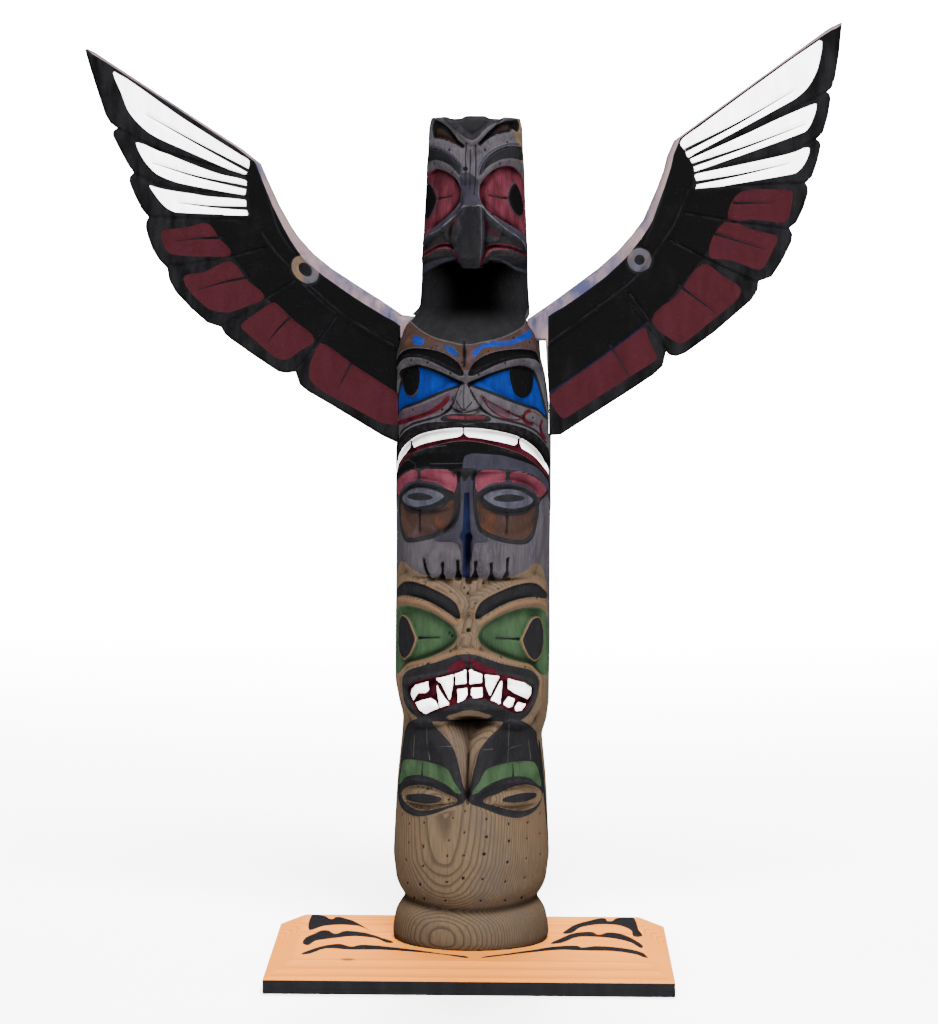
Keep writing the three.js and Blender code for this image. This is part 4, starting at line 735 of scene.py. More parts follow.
class PaintedSurface:
    """Distance from every vertex to the edge of each paint, and the carved relief, in mm."""

    def __init__(self, across, up, paints, fine=()):
        self.across = across
        self.up = up
        self.fields = {name: np.full(across.shape, -FAR) for name in paints}
        self.offset = {name: np.full(across.shape, 9.0) for name in fine}
        self.reach = {name: np.full(across.shape, -FAR) for name in fine}
        self.relief = np.zeros(across.shape)
        self.lean = np.zeros(across.shape)

    def lay(self, paint, near, inside, depth, rim):
        under = 0.0 if paint == "wood" else UNDERLAP
        for name, field in self.fields.items():
            if name == paint:
                field[near] = np.maximum(field[near], inside)
            else:
                field[near] = np.minimum(field[near], under - inside)
        for reach in self.reach.values():
            reach[near] = np.minimum(reach[near], 0.2 - inside)
        if depth:
            self.relief[near] += depth * smooth_step(inside, -0.5 * rim, 0.5 * rim + 0.2)

    def draw(self, paint, near, px, py, path, width, taper, depth):
        """A line of exact width: the offset from its middle, in half widths, and its reach."""
        d, along, side, over = line_offset(px, py, path)
        half = width * (1.0 - 0.85 * along) if taper else np.full(d.shape, width)
        reach = np.minimum(half + 0.6 - np.abs(side), 0.35 - over)
        closer = reach > self.reach[paint][near]
        self.offset[paint][near] = np.where(closer, side / half, self.offset[paint][near])
        self.reach[paint][near] = np.where(closer, reach, self.reach[paint][near])
        if depth:
            self.relief[near] += depth * (1 - smooth_step(d, 0.2 * width, width + 0.8))

    def mark(self, kind, paint, side, depth, size, points, where=None):
        closed = kind in ("fill", "tooth")
        if kind == "tooth":
            p, q = np.array(points), np.roll(points, -1, axis=0)
            points = np.stack([p, p + 0.3 * (q - p), p + 0.7 * (q - p)], axis=1).reshape(-1, 2)
        path = rounded_path(points, closed)
        x = {"pair": np.abs(self.across + self.lean), "left": -self.across}.get(side, self.across)
        low = path.min(axis=0) - FAR
        high = path.max(axis=0) + FAR
        near = (x > low[0]) & (x < high[0]) & (self.up > low[1]) & (self.up < high[1])
        if side in ("left", "right"):
            near &= x > 0
        if where is not None:
            near &= where
        if not near.any():
            return
        px, py = x[near], self.up[near]
        if closed:
            inside = inside_distance(px, py, path) + (0.15 if kind == "tooth" else 0.0)
            self.lay(paint, near, np.clip(inside, -FAR, FAR), depth, size)
            if kind == "tooth":
                self.relief[near] += 0.9 * smooth_step(inside, 0.2, 3.0)
        else:
            self.draw(paint, near, px, py, path, size, kind == "taper", depth)

    def marks(self, entries, where=None):
        for kind, paint, side, depth, size, points in entries:
            self.mark(kind, paint, side, depth, size, points, where)

    def dots(self, dots, where=None):
        for dot in dots:
            radius = dot[2] if len(dot) > 2 else DOT_RADIUS
            near = (np.abs(self.across - dot[0]) < FAR) & (np.abs(self.up - dot[1]) < FAR)
            if where is not None:
                near &= where
            d = np.hypot(self.across[near] - dot[0], self.up[near] - dot[1])
            self.fields["black"][near] = np.maximum(self.fields["black"][near], radius - d)
            self.relief[near] -= DOT_DEPTH * (1 - smooth_step(d, 0.2, radius + 0.5))

    def write(self, mesh):
        layers = {"paint_" + k: v for k, v in self.fields.items()}
        layers.update({"offset_" + k: v for k, v in self.offset.items()})
        layers.update({"reach_" + k: v for k, v in self.reach.items()})
        for name, field in layers.items():
            write_layer(mesh, name, field)


# ------------------------------------------------------------- carved forms

def oval(s, z, cs, cz, rs, rz, soft=0.3):
    r = np.hypot((s - cs) / rs, (z - cz) / rz)
    return 1 - smooth_step(r, 1 - soft * 0.7, 1 + soft * 0.5)


def ridge(s, z, points, half_width):
    d, _ = path_distance(s, z, rounded_path(points, False), False)
    return 1 - smooth_step(d, half_width * 0.5, half_width * 1.4)


def body_forms(arc, z):
    """Broad carved forms of the body figures, mm outwards."""
    s = np.abs(arc)
    depth = 3.0 * ridge(s, z, [(4, 392), (14, 398), (28, 402), (44, 402.5), (60, 396)], 7)
    depth += 2.2 * ridge(s, z, [(0, 357.5), (27, 355.5), (48, 348), (62, 337)], 5)
    depth += 2.2 * ridge(s, z, [(0, 333), (30, 332), (60, 318)], 8)
    depth += 1.8 * oval(s, z, 0, 371, 8, 10)
    depth += 1.2 * ridge(s, z, [(8, 378), (24, 369), (44, 362), (60, 355)], 4)
    palm = oval(s, z, 28, 292, 30, 38, 0.25) * smooth_step(z, 256.5, 259.5)
    depth += 3.0 * palm - 2.2 * oval(s, z, 28, 303, 26, 19)
    depth += 1.6 * oval(s, z, 28, 307, 18, 7)
    fingers = 0.5 + 0.5 * np.cos((arc + 23.5) / 12.0 * 2 * math.pi)
    depth += 1.8 * fingers * oval(s, z, 16, 264, 18, 12) * smooth_step(z, 256.5, 259.5)
    depth -= 2.2 * ridge(s, z, [(0, 256), (0, 284)], 2.5)
    depth += 2.8 * ridge(s, z, [(6, 240), (14, 245.5), (28, 251), (44, 252), (60, 247)], 6.5)
    depth -= 1.6 * oval(s, z, 44, 216, 36, 21)
    lips = [(0, 206), (12, 203), (34, 197), (50, 190), (48, 176), (37, 169), (22, 171), (8, 175), (0, 176)]
    depth += 3.8 * ridge(s, z, lips, 7)
    depth += 2.4 * oval(s, z, 0, 186, 46, 13)
    depth += 1.6 * oval(s, z, 0, 214, 7, 9)
    fluke = [(6, 130), (12, 148), (27, 160), (44, 154), (52, 138)]
    depth += 2.4 * ridge(s, z, fluke, 10)
    depth -= 1.2 * oval(s, z, 31, 116, 27, 10)
    depth += 1.0 * oval(s, z, 31, 116, 15, 5)
    valley = 1 - smooth_step(s, 0.5, np.maximum(2.0 + (z - 116) * 0.36, 1.5))
    depth -= 3.6 * valley * smooth_step(z, 110, 122) * (1 - smooth_step(z, 168, 172))
    return depth


def head_forms(arc, z):
    """Broad carved forms of the bird's head, mm outwards."""
    s = np.abs(arc)
    depth = 2.0 * ridge(s, z, [(0, 534), (4, 537.4), (10, 543), (18, 548), (36, 550)], 2.6)
    depth += 2.4 * ridge(s, z, [(4, 514), (8, 522), (17, 527.5), (36, 528.5)], 6)
    depth -= 2.0 * oval(s, z, 30, 498, 28, 21)
    depth += 1.6 * ridge(s, z, [(9, 463), (20, 464), (44, 459)], 3)
    depth += 1.8 * ridge(s, z, [(6, 490), (17, 481), (40, 471)], 4)
    depth += 1.6 * oval(s, z, 10, 478, 7, 9)
    left = np.interp(z, [454, 466, 473, 480, 486, 492], [4.6, 6.6, 7.4, 7.0, 5.4, 3.4])
    beak = 1 - smooth_step(np.where(arc < 0, s / left, s / 4.2), 0.85, 1.7)
    rise = np.interp(z, [453, 458, 478, 492, 505], [7.6, 8.4, 6.6, 3.6, 1.0])
    depth += beak * rise * (1 - smooth_step(z, 492, 510)) * smooth_step(z, 452.4, 454.6)
    return depth


def jaw_arch(arc):
    """Rise of the jaw's lower edge beside the beak, and its fall towards the sides, in mm."""
    s = np.abs(arc)
    return 5 * smooth_step(s, 5.5, 11) - 6 * smooth_step(s, 14, 42)


def seen_on_log(x, y, z, turn):
    """Place on a plain round log that lies in line with each carved point, seen from the front."""
    dx, dy, dz = x - SIGHT[0], y - SIGHT[1], z - SIGHT[2]
    ox, oy = SIGHT[0] - SIGHT_LOG[0], SIGHT[1] - SIGHT_LOG[1]
    a, b = dx * dx + dy * dy, ox * dx + oy * dy
    inside = np.maximum(b * b - a * (ox * ox + oy * oy - LOG_RADIUS ** 2), 0)
    t = (-b - np.sqrt(inside)) / a
    angle = np.arctan2(ox + t * dx, -(oy + t * dy)) - turn
    return LOG_RADIUS * angle, SIGHT[2] + t * dz


def hand_place(s):
    """The hands' marks, drawn for one hand, stretched a little to fit each side."""
    seen = [
        -170, -70.3, -53.1, -36.7, -32.9, -16, -9.2, -6.4, 0, 3.8, 5.6, 8.4, 23.6, 27.9, 46.8, 62.4, 170,
    ]
    drawn = [
        -162, -62.5, -45.8, -29.2, -25.4, -11.5, -7, -4.8, 0, 3.8, 6.6, 10.2, 25.4, 29.2, 45.8, 62.5, 170,
    ]
    return np.interp(s, seen, drawn)


def log_section(z):
    """Smoothed half width, shift, front and back radius at each height."""
    grid = np.arange(10.0, 560.0, 0.5)
    kernel = np.exp(-0.5 * (np.arange(-8, 9) * 0.5 / 1.4) ** 2)
    kernel /= kernel.sum()
    columns = []
    for k in range(1, 5):
        profile = np.interp(grid, STATIONS[:, 0], STATIONS[:, k])
        padded = np.pad(profile, 8, mode="edge")
        columns.append(np.interp(z, grid, np.convolve(padded, kernel, mode="valid")))
    return columns


# ----------------------------------------------------------------- mesh helpers

def parameter_grid(columns, rows):
    """A bmesh grid whose vertices carry their column and row, before it is bent to shape."""
    bm = bmesh.new()
    bmesh.ops.create_grid(bm, x_segments=columns, y_segments=rows, size=1.0)
    col = bm.verts.layers.float.new("column")
    row = bm.verts.layers.float.new("row")
    for v in bm.verts:
        v[col] = round((v.co.x + 1) / 2 * columns)
        v[row] = round((v.co.y + 1) / 2 * rows)
    return bm


def read_layer(mesh, name):
    values = np.empty(len(mesh.vertices), dtype=np.float32)
    mesh.attributes[name].data.foreach_get("value", values)
    return values.astype(float)


def set_positions(mesh, x, y, z):
    points = np.column_stack([x, y, z]) * MM
    mesh.vertices.foreach_set("co", points.astype(np.float32).ravel())
    mesh.update()


def close_shell(bm, rough):
    """Bends the grid roughly into a closed shell, so that its seam and poles merge."""
    col = bm.verts.layers.float["column"]
    row = bm.verts.layers.float["row"]
    for v in bm.verts:
        v.co = rough(v[col], v[row])
    bmesh.ops.remove_doubles(bm, verts=bm.verts, dist=1e-6)
    bmesh.ops.dissolve_degenerate(bm, dist=1e-7, edges=bm.edges)


def finished_object(name, bm, node, smooth=True):
    mesh = bpy.data.meshes.new(name)
    bm.to_mesh(mesh)
    bm.free()
    obj = bpy.data.objects.new(name, mesh)
    bpy.context.scene.collection.objects.link(obj)
    mesh.polygons.foreach_set("use_smooth", [smooth] * len(mesh.polygons))
    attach(obj, "root")
    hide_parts(node)
    return obj


def point_outwards(obj):
    bm = bmesh.new()
    bm.from_mesh(obj.data)
    bmesh.ops.recalc_face_normals(bm, faces=bm.faces)
    if bm.calc_volume(signed=True) < 0:
        bmesh.ops.reverse_faces(bm, faces=bm.faces)
    bm.to_mesh(obj.data)
    bm.free()
    for name in ("column", "row"):
        if name in obj.data.attributes:
            obj.data.attributes.remove(obj.data.attributes[name])
    obj.data.update()


# ------------------------------------------------------------- material helpers

def srgb(red, green, blue):
    """Linear colour of an sRGB triple from 0 to 255."""
    out = []
    for value in (red, green, blue):
        c = value / 255.0
        out.append(c / 12.92 if c <= 0.04045 else ((c + 0.055) / 1.055) ** 2.4)
    return tuple(out)


# The colour sockets of the Mix node, which share their names with its other sockets
MIX_COLOUR_A, MIX_COLOUR_B, MIX_COLOUR_RESULT = 6, 7, 2


class Finish:
    """A node material under construction."""

    def __init__(self, name):
        self.material = bpy.data.materials.new(name)
        self.material.use_nodes = True
        self.tree = self.material.node_tree
        self.tree.nodes.clear()
        self.output = self.tree.nodes.new("ShaderNodeOutputMaterial")
        self.shader = self.tree.nodes.new("ShaderNodeBsdfPrincipled")
        self.join(self.shader.outputs["BSDF"], self.output.inputs["Surface"])
        self.place = self.tree.nodes.new("ShaderNodeTexCoord").outputs["Object"]

    def join(self, source, target):
        self.tree.links.new(source, target)

    def feed(self, target, value):
        if isinstance(value, bpy.types.NodeSocket):
            self.join(value, target)
        elif hasattr(target.default_value, "__len__") and not hasattr(value, "__len__"):
            target.default_value = (value,) * len(target.default_value)
        elif hasattr(value, "__len__") and len(target.default_value) == 4 and len(value) == 3:
            target.default_value = (*value, 1.0)
        else:
            target.default_value = value

    def math(self, operation, a, b=0.0):
        node = self.tree.nodes.new("ShaderNodeMath")
        node.operation = operation
        self.feed(node.inputs[0], a)
        self.feed(node.inputs[1], b)
        return node.outputs[0]

    def vector(self, operation, a, b=(0, 0, 0)):
        node = self.tree.nodes.new("ShaderNodeVectorMath")
        node.operation = operation
        self.feed(node.inputs[0], a)
        self.feed(node.inputs[1], b)
        return node.outputs["Value" if operation == "LENGTH" else "Vector"]

    def moved(self, location=(0, 0, 0), rotation=(0, 0, 0), scale=(1, 1, 1)):
        node = self.tree.nodes.new("ShaderNodeMapping")
        self.join(self.place, node.inputs["Vector"])
        node.inputs["Location"].default_value = location
        node.inputs["Rotation"].default_value = rotation
        node.inputs["Scale"].default_value = scale
        return node.outputs["Vector"]

    def noise(self, vector, scale, detail=2.0, roughness=0.5, colour=False):
        node = self.tree.nodes.new("ShaderNodeTexNoise")
        self.join(vector, node.inputs["Vector"])
        node.inputs["Scale"].default_value = scale
        node.inputs["Detail"].default_value = detail
        node.inputs["Roughness"].default_value = roughness
        return node.outputs["Color" if colour else "Fac"]

    def ramp(self, value, low, high, to_low=0.0, to_high=1.0):
        node = self.tree.nodes.new("ShaderNodeMapRange")
        node.interpolation_type = "SMOOTHSTEP"
        self.feed(node.inputs["Value"], value)
        amounts = {"From Min": low, "From Max": high, "To Min": to_low, "To Max": to_high}
        for socket, amount in amounts.items():
            node.inputs[socket].default_value = amount
        return node.outputs["Result"]

    def mix(self, factor, a, b, blend="MIX"):
        node = self.tree.nodes.new("ShaderNodeMix")
        node.data_type = "RGBA"
        node.blend_type = blend
        self.feed(node.inputs["Factor"], factor)
        self.feed(node.inputs[MIX_COLOUR_A], a)
        self.feed(node.inputs[MIX_COLOUR_B], b)
        return node.outputs[MIX_COLOUR_RESULT]

    def attribute(self, name):
        node = self.tree.nodes.new("ShaderNodeAttribute")
        node.attribute_type = "GEOMETRY"
        node.attribute_name = name
        return node.outputs["Fac"]

    def bump(self, height, distance):
        node = self.tree.nodes.new("ShaderNodeBump")
        self.feed(node.inputs["Height"], height)
        node.inputs["Distance"].default_value = distance
        node.inputs["Strength"].default_value = 1.0
        return node.outputs["Normal"]

    def grain(self, pith, spacing, warp, axis="Z", lean=0.0):
        """Growth rings about a pith line, as a value that rises through each ring."""
        along = {"X": (0.05, 1, 1), "Z": (1, 1, 0.07)}[axis]
        drift = self.noise(self.moved(scale=along), 22.0, 3.0, 0.55, colour=True)
        bent = self.vector("SUBTRACT", drift, (0.5, 0.5, 0.5))
        scaled = self.tree.nodes.new("ShaderNodeVectorMath")
        scaled.operation = "SCALE"
        self.join(bent, scaled.inputs[0])
        scaled.inputs["Scale"].default_value = warp
        turned = self.vector("SUBTRACT", self.moved(rotation=(lean, 0, 0)), pith)
        flat = self.vector("MULTIPLY", turned, (0, 1, 1) if axis == "X" else (1, 1, 0))
        radius = self.vector("LENGTH", self.vector("ADD", flat, scaled.outputs[0]))
        return self.math("FRACT", self.math("MULTIPLY", radius, 1.0 / spacing))

    def layered(self, base, paints, lines, colours, ragged):
        """Lays each paint over the wood where its distance field is positive, then the lines.

        Gives the painted colour and the brush noise that varies it.
        """
        edge = self.noise(self.place, 900.0, 2.0, 0.6)
        wander = self.math("MULTIPLY", self.math("SUBTRACT", edge, 0.5), ragged)
        brush = self.noise(self.moved(scale=(1, 1, 0.25)), 140.0, 4.0, 0.6)
        vary = self.ramp(brush, 0.3, 0.7)
        for name in paints:
            field = self.math("ADD", self.attribute("paint_" + name), wander)
            mask = self.ramp(field, -0.10, 0.14)
            base = self.mix(mask, base, self.mix(vary, colours[name][0], colours[name][1]))
        for name in lines:
            near = self.ramp(self.attribute("reach_" + name), -0.05, 0.12)
            off = self.math("ADD", self.math("ABSOLUTE", self.attribute("offset_" + name)), wander)
            mask = self.math("MULTIPLY", self.ramp(off, 1.15, 0.75), near)
            base = self.mix(mask, base, self.mix(vary, colours[name][0], colours[name][1]))
        return base, brush

    def shade_grime_and_wear(self, skin, rub):
        """Darkens carved hollows with painted shade and grime, deep ones near black, and rubs raised edges lighter.
        """
        broad = self.attribute("hollow")
        fine = self.attribute("nick")
        deep = self.attribute("cavity")
        dark = self.math(
            "MULTIPLY", self.ramp(broad, 0.05, 1.5, 1.0, 0.42), self.ramp(fine, 0.03, 0.5, 1.0, 0.62))
        # Deep hollows, such as the neck under the beak, take painted shade down to a tenth of the colour
        dark = self.math("MULTIPLY", dark, self.ramp(deep, 1.5, 6.5, 1.0, 0.1))
        worn = self.math("MULTIPLY", self.ramp(broad, -0.1, -0.9), self.ramp(fine, -0.02, -0.3, 0.3, 1.0))
        speckle = self.noise(self.place, 260.0, 3.0, 0.6)
        scuffed = self.math("MULTIPLY", worn, self.ramp(speckle, 0.4, 0.62, 0.02, 0.08))
        skin = self.mix(1.0, skin, self.grey(dark), "MULTIPLY")
        return self.mix(scuffed, skin, rub)

    def grey(self, value):
        node = self.tree.nodes.new("ShaderNodeCombineColor")
        for socket in node.inputs[:3]:
            self.join(value, socket)
        return node.outputs["Color"]


# ------------------------------------------------------------------- settings

def colour(name, description, red, green, blue):
    """A colour setting, from an sRGB triple of 0 to 255."""
    return FloatVectorProperty(
        name=name, description=description, subtype="COLOR", size=3, min=0, max=1,
        default=srgb(red, green, blue))


class TotemSizes(bpy.types.PropertyGroup):
    mesh_step: FloatProperty(
        name="Mesh step", description="Spacing of the carved surface's mesh, in mm", default=1.1, min=0.8, max=4.0)
    face_turn: FloatProperty(
        name="Face turn", description="Turn of the carved faces about the pole, in degrees", default=-2.5)
    carving: FloatProperty(
        name="Carving", description="Depth of the carving, as a share of its full depth", default=1.0, min=0, max=1.5)
    base_width: FloatProperty(name="Board width", description="Width of the base board, in mm", default=258.5)
    base_depth: FloatProperty(name="Board depth", description="Depth of the base board, in mm", default=184.0)
    base_thickness: FloatProperty(
        name="Board thickness", description="Thickness of the base board, in mm", default=19.0)
    bevel_run: FloatProperty(
        name="Bevel width", description="Width of the board's bevel in plan, in mm", default=17.8)
    bevel_drop: FloatProperty(name="Bevel drop", description="Height of the board's bevel, in mm", default=10.0)
    wing_sweep: FloatProperty(name="Wing sweep", description="Backward sweep of the wings, in degrees", default=12.0)
    wing_front: FloatProperty(
        name="Wing front", description="Y of the wings' front face at the pole, in mm", default=-10.0)
    wing_root: FloatProperty(
        name="Wing root", description="Distance of the wings' inner end from the pole's middle, in mm", default=48.5)
    root_thickness: FloatProperty(
        name="Root thickness", description="Thickness of a wing at the pole, in mm", default=28.0)
    tip_thickness: FloatProperty(
        name="Tip thickness", description="Thickness of a wing at its tip, in mm", default=8.0)
    tip_distance: FloatProperty(
        name="Tip distance", description="Distance of the wing tips from the pole's middle, in mm", default=254.0)


class TotemColours(bpy.types.PropertyGroup):
    wood: colour("Bare wood", "Bare carved wood", 56, 46, 35)
    wood_line: colour("Grain line", "Darker line in the carved wood's grain", 33, 27, 22)
    wood_grey: colour("Grey wood", "Weathered patch in the carved wood", 42, 37, 34)
    wood_warm: colour("Warm wood", "Warm patch in the carved wood", 60, 42, 30)
    board: colour("Board", "Light wood of the base board", 153, 90, 28)
    board_line: colour("Board grain", "Darker line in the board's grain", 132, 70, 19)
    board_pale: colour("Pale board", "Pale streak in the board", 156, 102, 40)
    black: colour("Black", "Black paint", 11.9, 11.9, 13)
    soot: colour("Soot black", "Deep black paint of the wings and chins", 4.3, 4.3, 4.6)
    # Near-black painted shadow laid under the beak
    shadow_black: colour("Painted shadow black", "Near-black painted shadow deep under the beak", 0.5, 0.5, 0.5)
    black_worn: colour("Worn black", "Black paint rubbed thin", 15, 15, 16)
    beak: colour("Beak", "Grey-black of the beak's front", 8.3, 8.5, 10.1)
    rim: colour("Rim", "Pale rubbed line along carved edges", 52, 49, 53)
    slate: colour("Slate", "Blue-grey stain, also laid as painted highlights on the head", 23, 23, 28)
    slate_dark: colour("Dark slate", "Darker blue-grey stain, also in painted highlights on the head", 19, 18, 23)
    violet: colour("Violet grey", "Grey-violet stain over wood", 38, 36, 38)
    violet_dark: colour("Dark violet grey", "Darker grey-violet stain", 26, 24, 28)
    lilac: colour("Lilac grey", "Pale grey-violet stain", 37, 37, 43)
    brown: colour("Brown", "Brown paint", 28, 20, 17)
    rust: colour("Rust", "Rusty brown of the forehead", 43, 23, 10.4)
    mauve: colour("Mauve", "Purple-brown wash", 35, 25, 29)
    tan: colour("Tan", "Pale wood colour of the eyelids", 58, 45, 32)
    red: colour("Maroon", "Maroon paint of the wings", 30, 10.6, 14)
    red_dark: colour("Dark maroon", "Darker maroon paint", 27, 8.7, 11.3)
    eye_red: colour("Eye red", "Dark red paint round the bird's eyes", 49, 20, 26)
    rose: colour("Rose", "Rose red paint above the hands", 57, 26, 33)
    crimson: colour("Dark red", "Dark red paint in the mouths", 40, 8, 14)
    crimson_dark: colour("Deep red", "Deepest red in the mouths", 26, 5, 9)
    blue: colour("Blue", "Bright blue paint", 6.0, 23, 71)
    blue_dark: colour("Dark blue", "Darker blue paint", 6.0, 18, 53)
    navy: colour("Navy", "Dark blue between the hands", 7.9, 10.7, 26)
    navy_dark: colour("Dark navy", "Darker blue between the hands", 5.5, 6.6, 16)
    green: colour("Green", "Green paint", 30, 43, 28)
    green_dark: colour("Dark green", "Darker green paint", 24, 34, 23)
    white: colour("White", "White paint", 236, 234, 234)
    white_worn: colour("Worn white", "White paint rubbed thin", 218, 214, 214)
    strip: colour("Wing edge", "Grey-pink upper edge of a wing", 76, 64, 64)
    strip_blue: colour("Wing edge blue", "Blue-violet upper edge near the shoulder", 35, 36, 53)
    scratch: colour("Scratch", "Pale scratch in the black paint", 44, 41, 39)


class TotemStage(bpy.types.PropertyGroup):
    focal_length: FloatProperty(name="Focal length", description="Camera lens, in mm", default=130.55)
    distance: FloatProperty(
        name="Distance", description="Camera distance from its target", default=2.392, unit="LENGTH")
    azimuth: FloatProperty(name="Azimuth", description="Camera turn round the pole, in degrees", default=0.7)
    pitch: FloatProperty(name="Pitch", description="Camera height angle, in degrees", default=4.658)
    roll: FloatProperty(name="Roll", description="Camera roll, in degrees", default=0.348)
    floor_size: FloatProperty(name="Floor size", description="Width of the floor", default=12.0, unit="LENGTH")
    floor_segments: IntProperty(name="Floor curve", description="Steps in the backdrop's curve", default=24)


# ------------------------------------------------------------------- materials

def pole_finish(c):
    f = Finish("carved pole paint and wood")
    ring = f.grain((0.070, 0.180, 0.0), 0.00125, 0.0022, lean=0.095)
    line = f.math("MULTIPLY", f.ramp(ring, 0.5, 0.93), f.ramp(ring, 1.0, 0.95))
    fibre = f.noise(f.moved(scale=(1, 1, 0.05)), 900.0, 3.0, 0.6)
    patch = f.noise(f.moved(scale=(1, 1, 0.5)), 28.0, 3.0, 0.6)
    wood = f.mix(f.math("MULTIPLY", line, 0.8), c.wood, c.wood_line)
    wood = f.mix(f.ramp(fibre, 0.35, 0.75, 0.0, 0.4), wood, c.wood_line)
    wood = f.mix(f.ramp(patch, 0.48, 0.72, 0.0, 0.5), wood, c.wood_grey)
    wood = f.mix(f.ramp(patch, 0.42, 0.25, 0.0, 0.45), wood, c.wood_warm)
    soft = f.mix(f.ramp(fibre, 0.3, 0.7), c.violet, c.violet_dark)
    soft = f.mix(f.ramp(patch, 0.5, 0.7, 0.0, 0.6), soft, c.slate)
    soft = f.mix(f.math("MULTIPLY", line, 0.35), soft, c.violet_dark)
    rust = f.noise(f.place, 75.0, 3.0, 0.6)
    ground = f.mix(f.ramp(rust, 0.52, 0.66), c.brown, c.mauve)
    ground = f.mix(f.ramp(rust, 0.44, 0.34, 0.0, 0.8), ground, c.rust)
    beak = f.mix(f.ramp(patch, 0.4, 0.65), c.black, c.beak)
    tints = {
        # Under the beak the black paint turns to near-black painted shadow
        "black": tuple(f.mix(f.attribute("painted_shadow_under_beak"), tone, c.shadow_black) for tone in (c.black, c.black_worn)),
        "slate": (c.slate, c.slate_dark),
        "violet": (soft, c.violet), "ear": (wood, wood), "lilac": (c.lilac, c.slate),
        "brown": (ground, c.brown), "ochre": (c.rust, c.brown),
        "red": (c.eye_red, c.red), "rose": (c.rose, c.eye_red), "crimson": (c.crimson, c.crimson_dark),
        "mauve": (c.mauve, c.slate), "blue": (c.blue, c.blue_dark),
        "navy": (c.navy, c.navy_dark), "green": (c.green, c.green_dark),
        "white": (c.white, c.white_worn), "tan": (c.tan, c.wood_warm),
        "beak": (beak, c.beak), "pupil": (c.soot, c.soot), "rim": (c.rim, c.slate),
        "scratch": (c.scratch, c.black_worn),
    }
    skin, brush = f.layered(wood, POLE_PAINTS, POLE_LINES, tints, 0.28)
    f.join(f.shade_grime_and_wear(skin, c.rim), f.shader.inputs["Base Color"])
    f.join(f.ramp(brush, 0.3, 0.7, 0.48, 0.66), f.shader.inputs["Roughness"])
    f.shader.inputs["Specular IOR Level"].default_value = 0.0
    height = f.math("ADD", f.math("MULTIPLY", line, -0.35), f.math("MULTIPLY", fibre, 0.5))
    facets = f.noise(f.moved(scale=(1, 1, 0.6)), 170.0, 2.0, 0.5)
    height = f.math("ADD", height, f.math("MULTIPLY", facets, 1.4))
    f.join(f.bump(height, 0.00022), f.shader.inputs["Normal"])
    return f.material


def wing_finish(c):
    f = Finish("wing paint")
    fibre = f.noise(f.moved(scale=(0.2, 1, 1)), 700.0, 3.0, 0.6)
    patch = f.noise(f.place, 26.0, 3.0, 0.6)
    place = f.tree.nodes.new("ShaderNodeSeparateXYZ")
    f.join(f.place, place.inputs["Vector"])
    inward = f.ramp(f.math("ABSOLUTE", place.outputs["X"]), 0.125, 0.075)
    strip = f.mix(inward, c.strip, c.strip_blue)
    black = f.mix(f.ramp(patch, 0.5, 0.75, 0.0, 0.5), c.soot, c.black)
    tints = {
        "black": (black, c.black), "arm": (black, c.soot),
        "covert": (black, c.soot), "white": (c.white, c.white_worn),
        "red": (c.red, c.red_dark), "chip": (c.white, c.white),
        "disc": (f.mix(f.ramp(patch, 0.4, 0.6), c.tan, c.slate), c.lilac),
        "strip": (strip, f.mix(f.ramp(patch, 0.45, 0.6), c.strip, c.strip_blue)),
        # The wing's painted sheen takes the navy colours
        "painted_sheen": (c.navy, c.navy_dark),
    }
    skin, brush = f.layered(black, WING_PAINTS, WING_LINES, tints, 0.22)
    f.join(skin, f.shader.inputs["Base Color"])
    f.join(f.ramp(brush, 0.3, 0.7, 0.5, 0.66), f.shader.inputs["Roughness"])
    f.shader.inputs["Specular IOR Level"].default_value = 0.0
    facets = f.noise(f.place, 120.0, 2.0, 0.5)
    height = f.math("ADD", f.math("MULTIPLY", fibre, 0.5), f.math("MULTIPLY", facets, 1.2))
    f.join(f.bump(height, 0.0002), f.shader.inputs["Normal"])
    return f.material


def board_finish(c):
    f = Finish("bevelled board wood")
    ring = f.grain((0.0, 0.03, -0.09), 0.0024, 0.0035, axis="X")
    line = f.math("MULTIPLY", f.ramp(ring, 0.3, 0.92), f.ramp(ring, 1.0, 0.93))
    fibre = f.noise(f.moved(scale=(0.04, 1, 1)), 800.0, 3.0, 0.6)
    patch = f.noise(f.moved(scale=(0.4, 1, 1)), 14.0, 3.0, 0.6)
    wood = f.mix(f.math("MULTIPLY", line, 0.7), c.board, c.board_line)
    wood = f.mix(f.ramp(fibre, 0.4, 0.75, 0.0, 0.3), wood, c.board_line)
    wood = f.mix(f.ramp(patch, 0.5, 0.75, 0.0, 0.25), wood, c.board_pale)
    knot = f.vector("LENGTH", f.moved(location=(0.0345, 0.0736, 0), scale=(0.45, 1, 0)))
    wood = f.mix(f.ramp(knot, 0.0028, 0.0012, 0.0, 0.7), wood, c.rust)
    tints = {"black": (c.black, c.black_worn)}
    skin, brush = f.layered(wood, ("black",), (), tints, 0.35)
    f.join(skin, f.shader.inputs["Base Color"])
    f.join(f.ramp(brush, 0.3, 0.7, 0.36, 0.5), f.shader.inputs["Roughness"])
    f.shader.inputs["Specular IOR Level"].default_value = 0.0
    height = f.math("ADD", f.math("MULTIPLY", line, -0.3), f.math("MULTIPLY", fibre, 0.4))
    f.join(f.bump(height, 0.0001), f.shader.inputs["Normal"])
    return f.material


def backdrop_finish():
    f = Finish("pale backdrop")
    shade = f.noise(f.place, 1.5, 2.0, 0.5)
    pale = f.mix(f.ramp(shade, 0.3, 0.7), (0.86, 0.86, 0.86), (0.88, 0.88, 0.88))
    f.join(pale, f.shader.inputs["Base Color"])
    f.shader.inputs["Roughness"].default_value = 0.9
    return f.material


# ------------------------------------------------------------------- operators

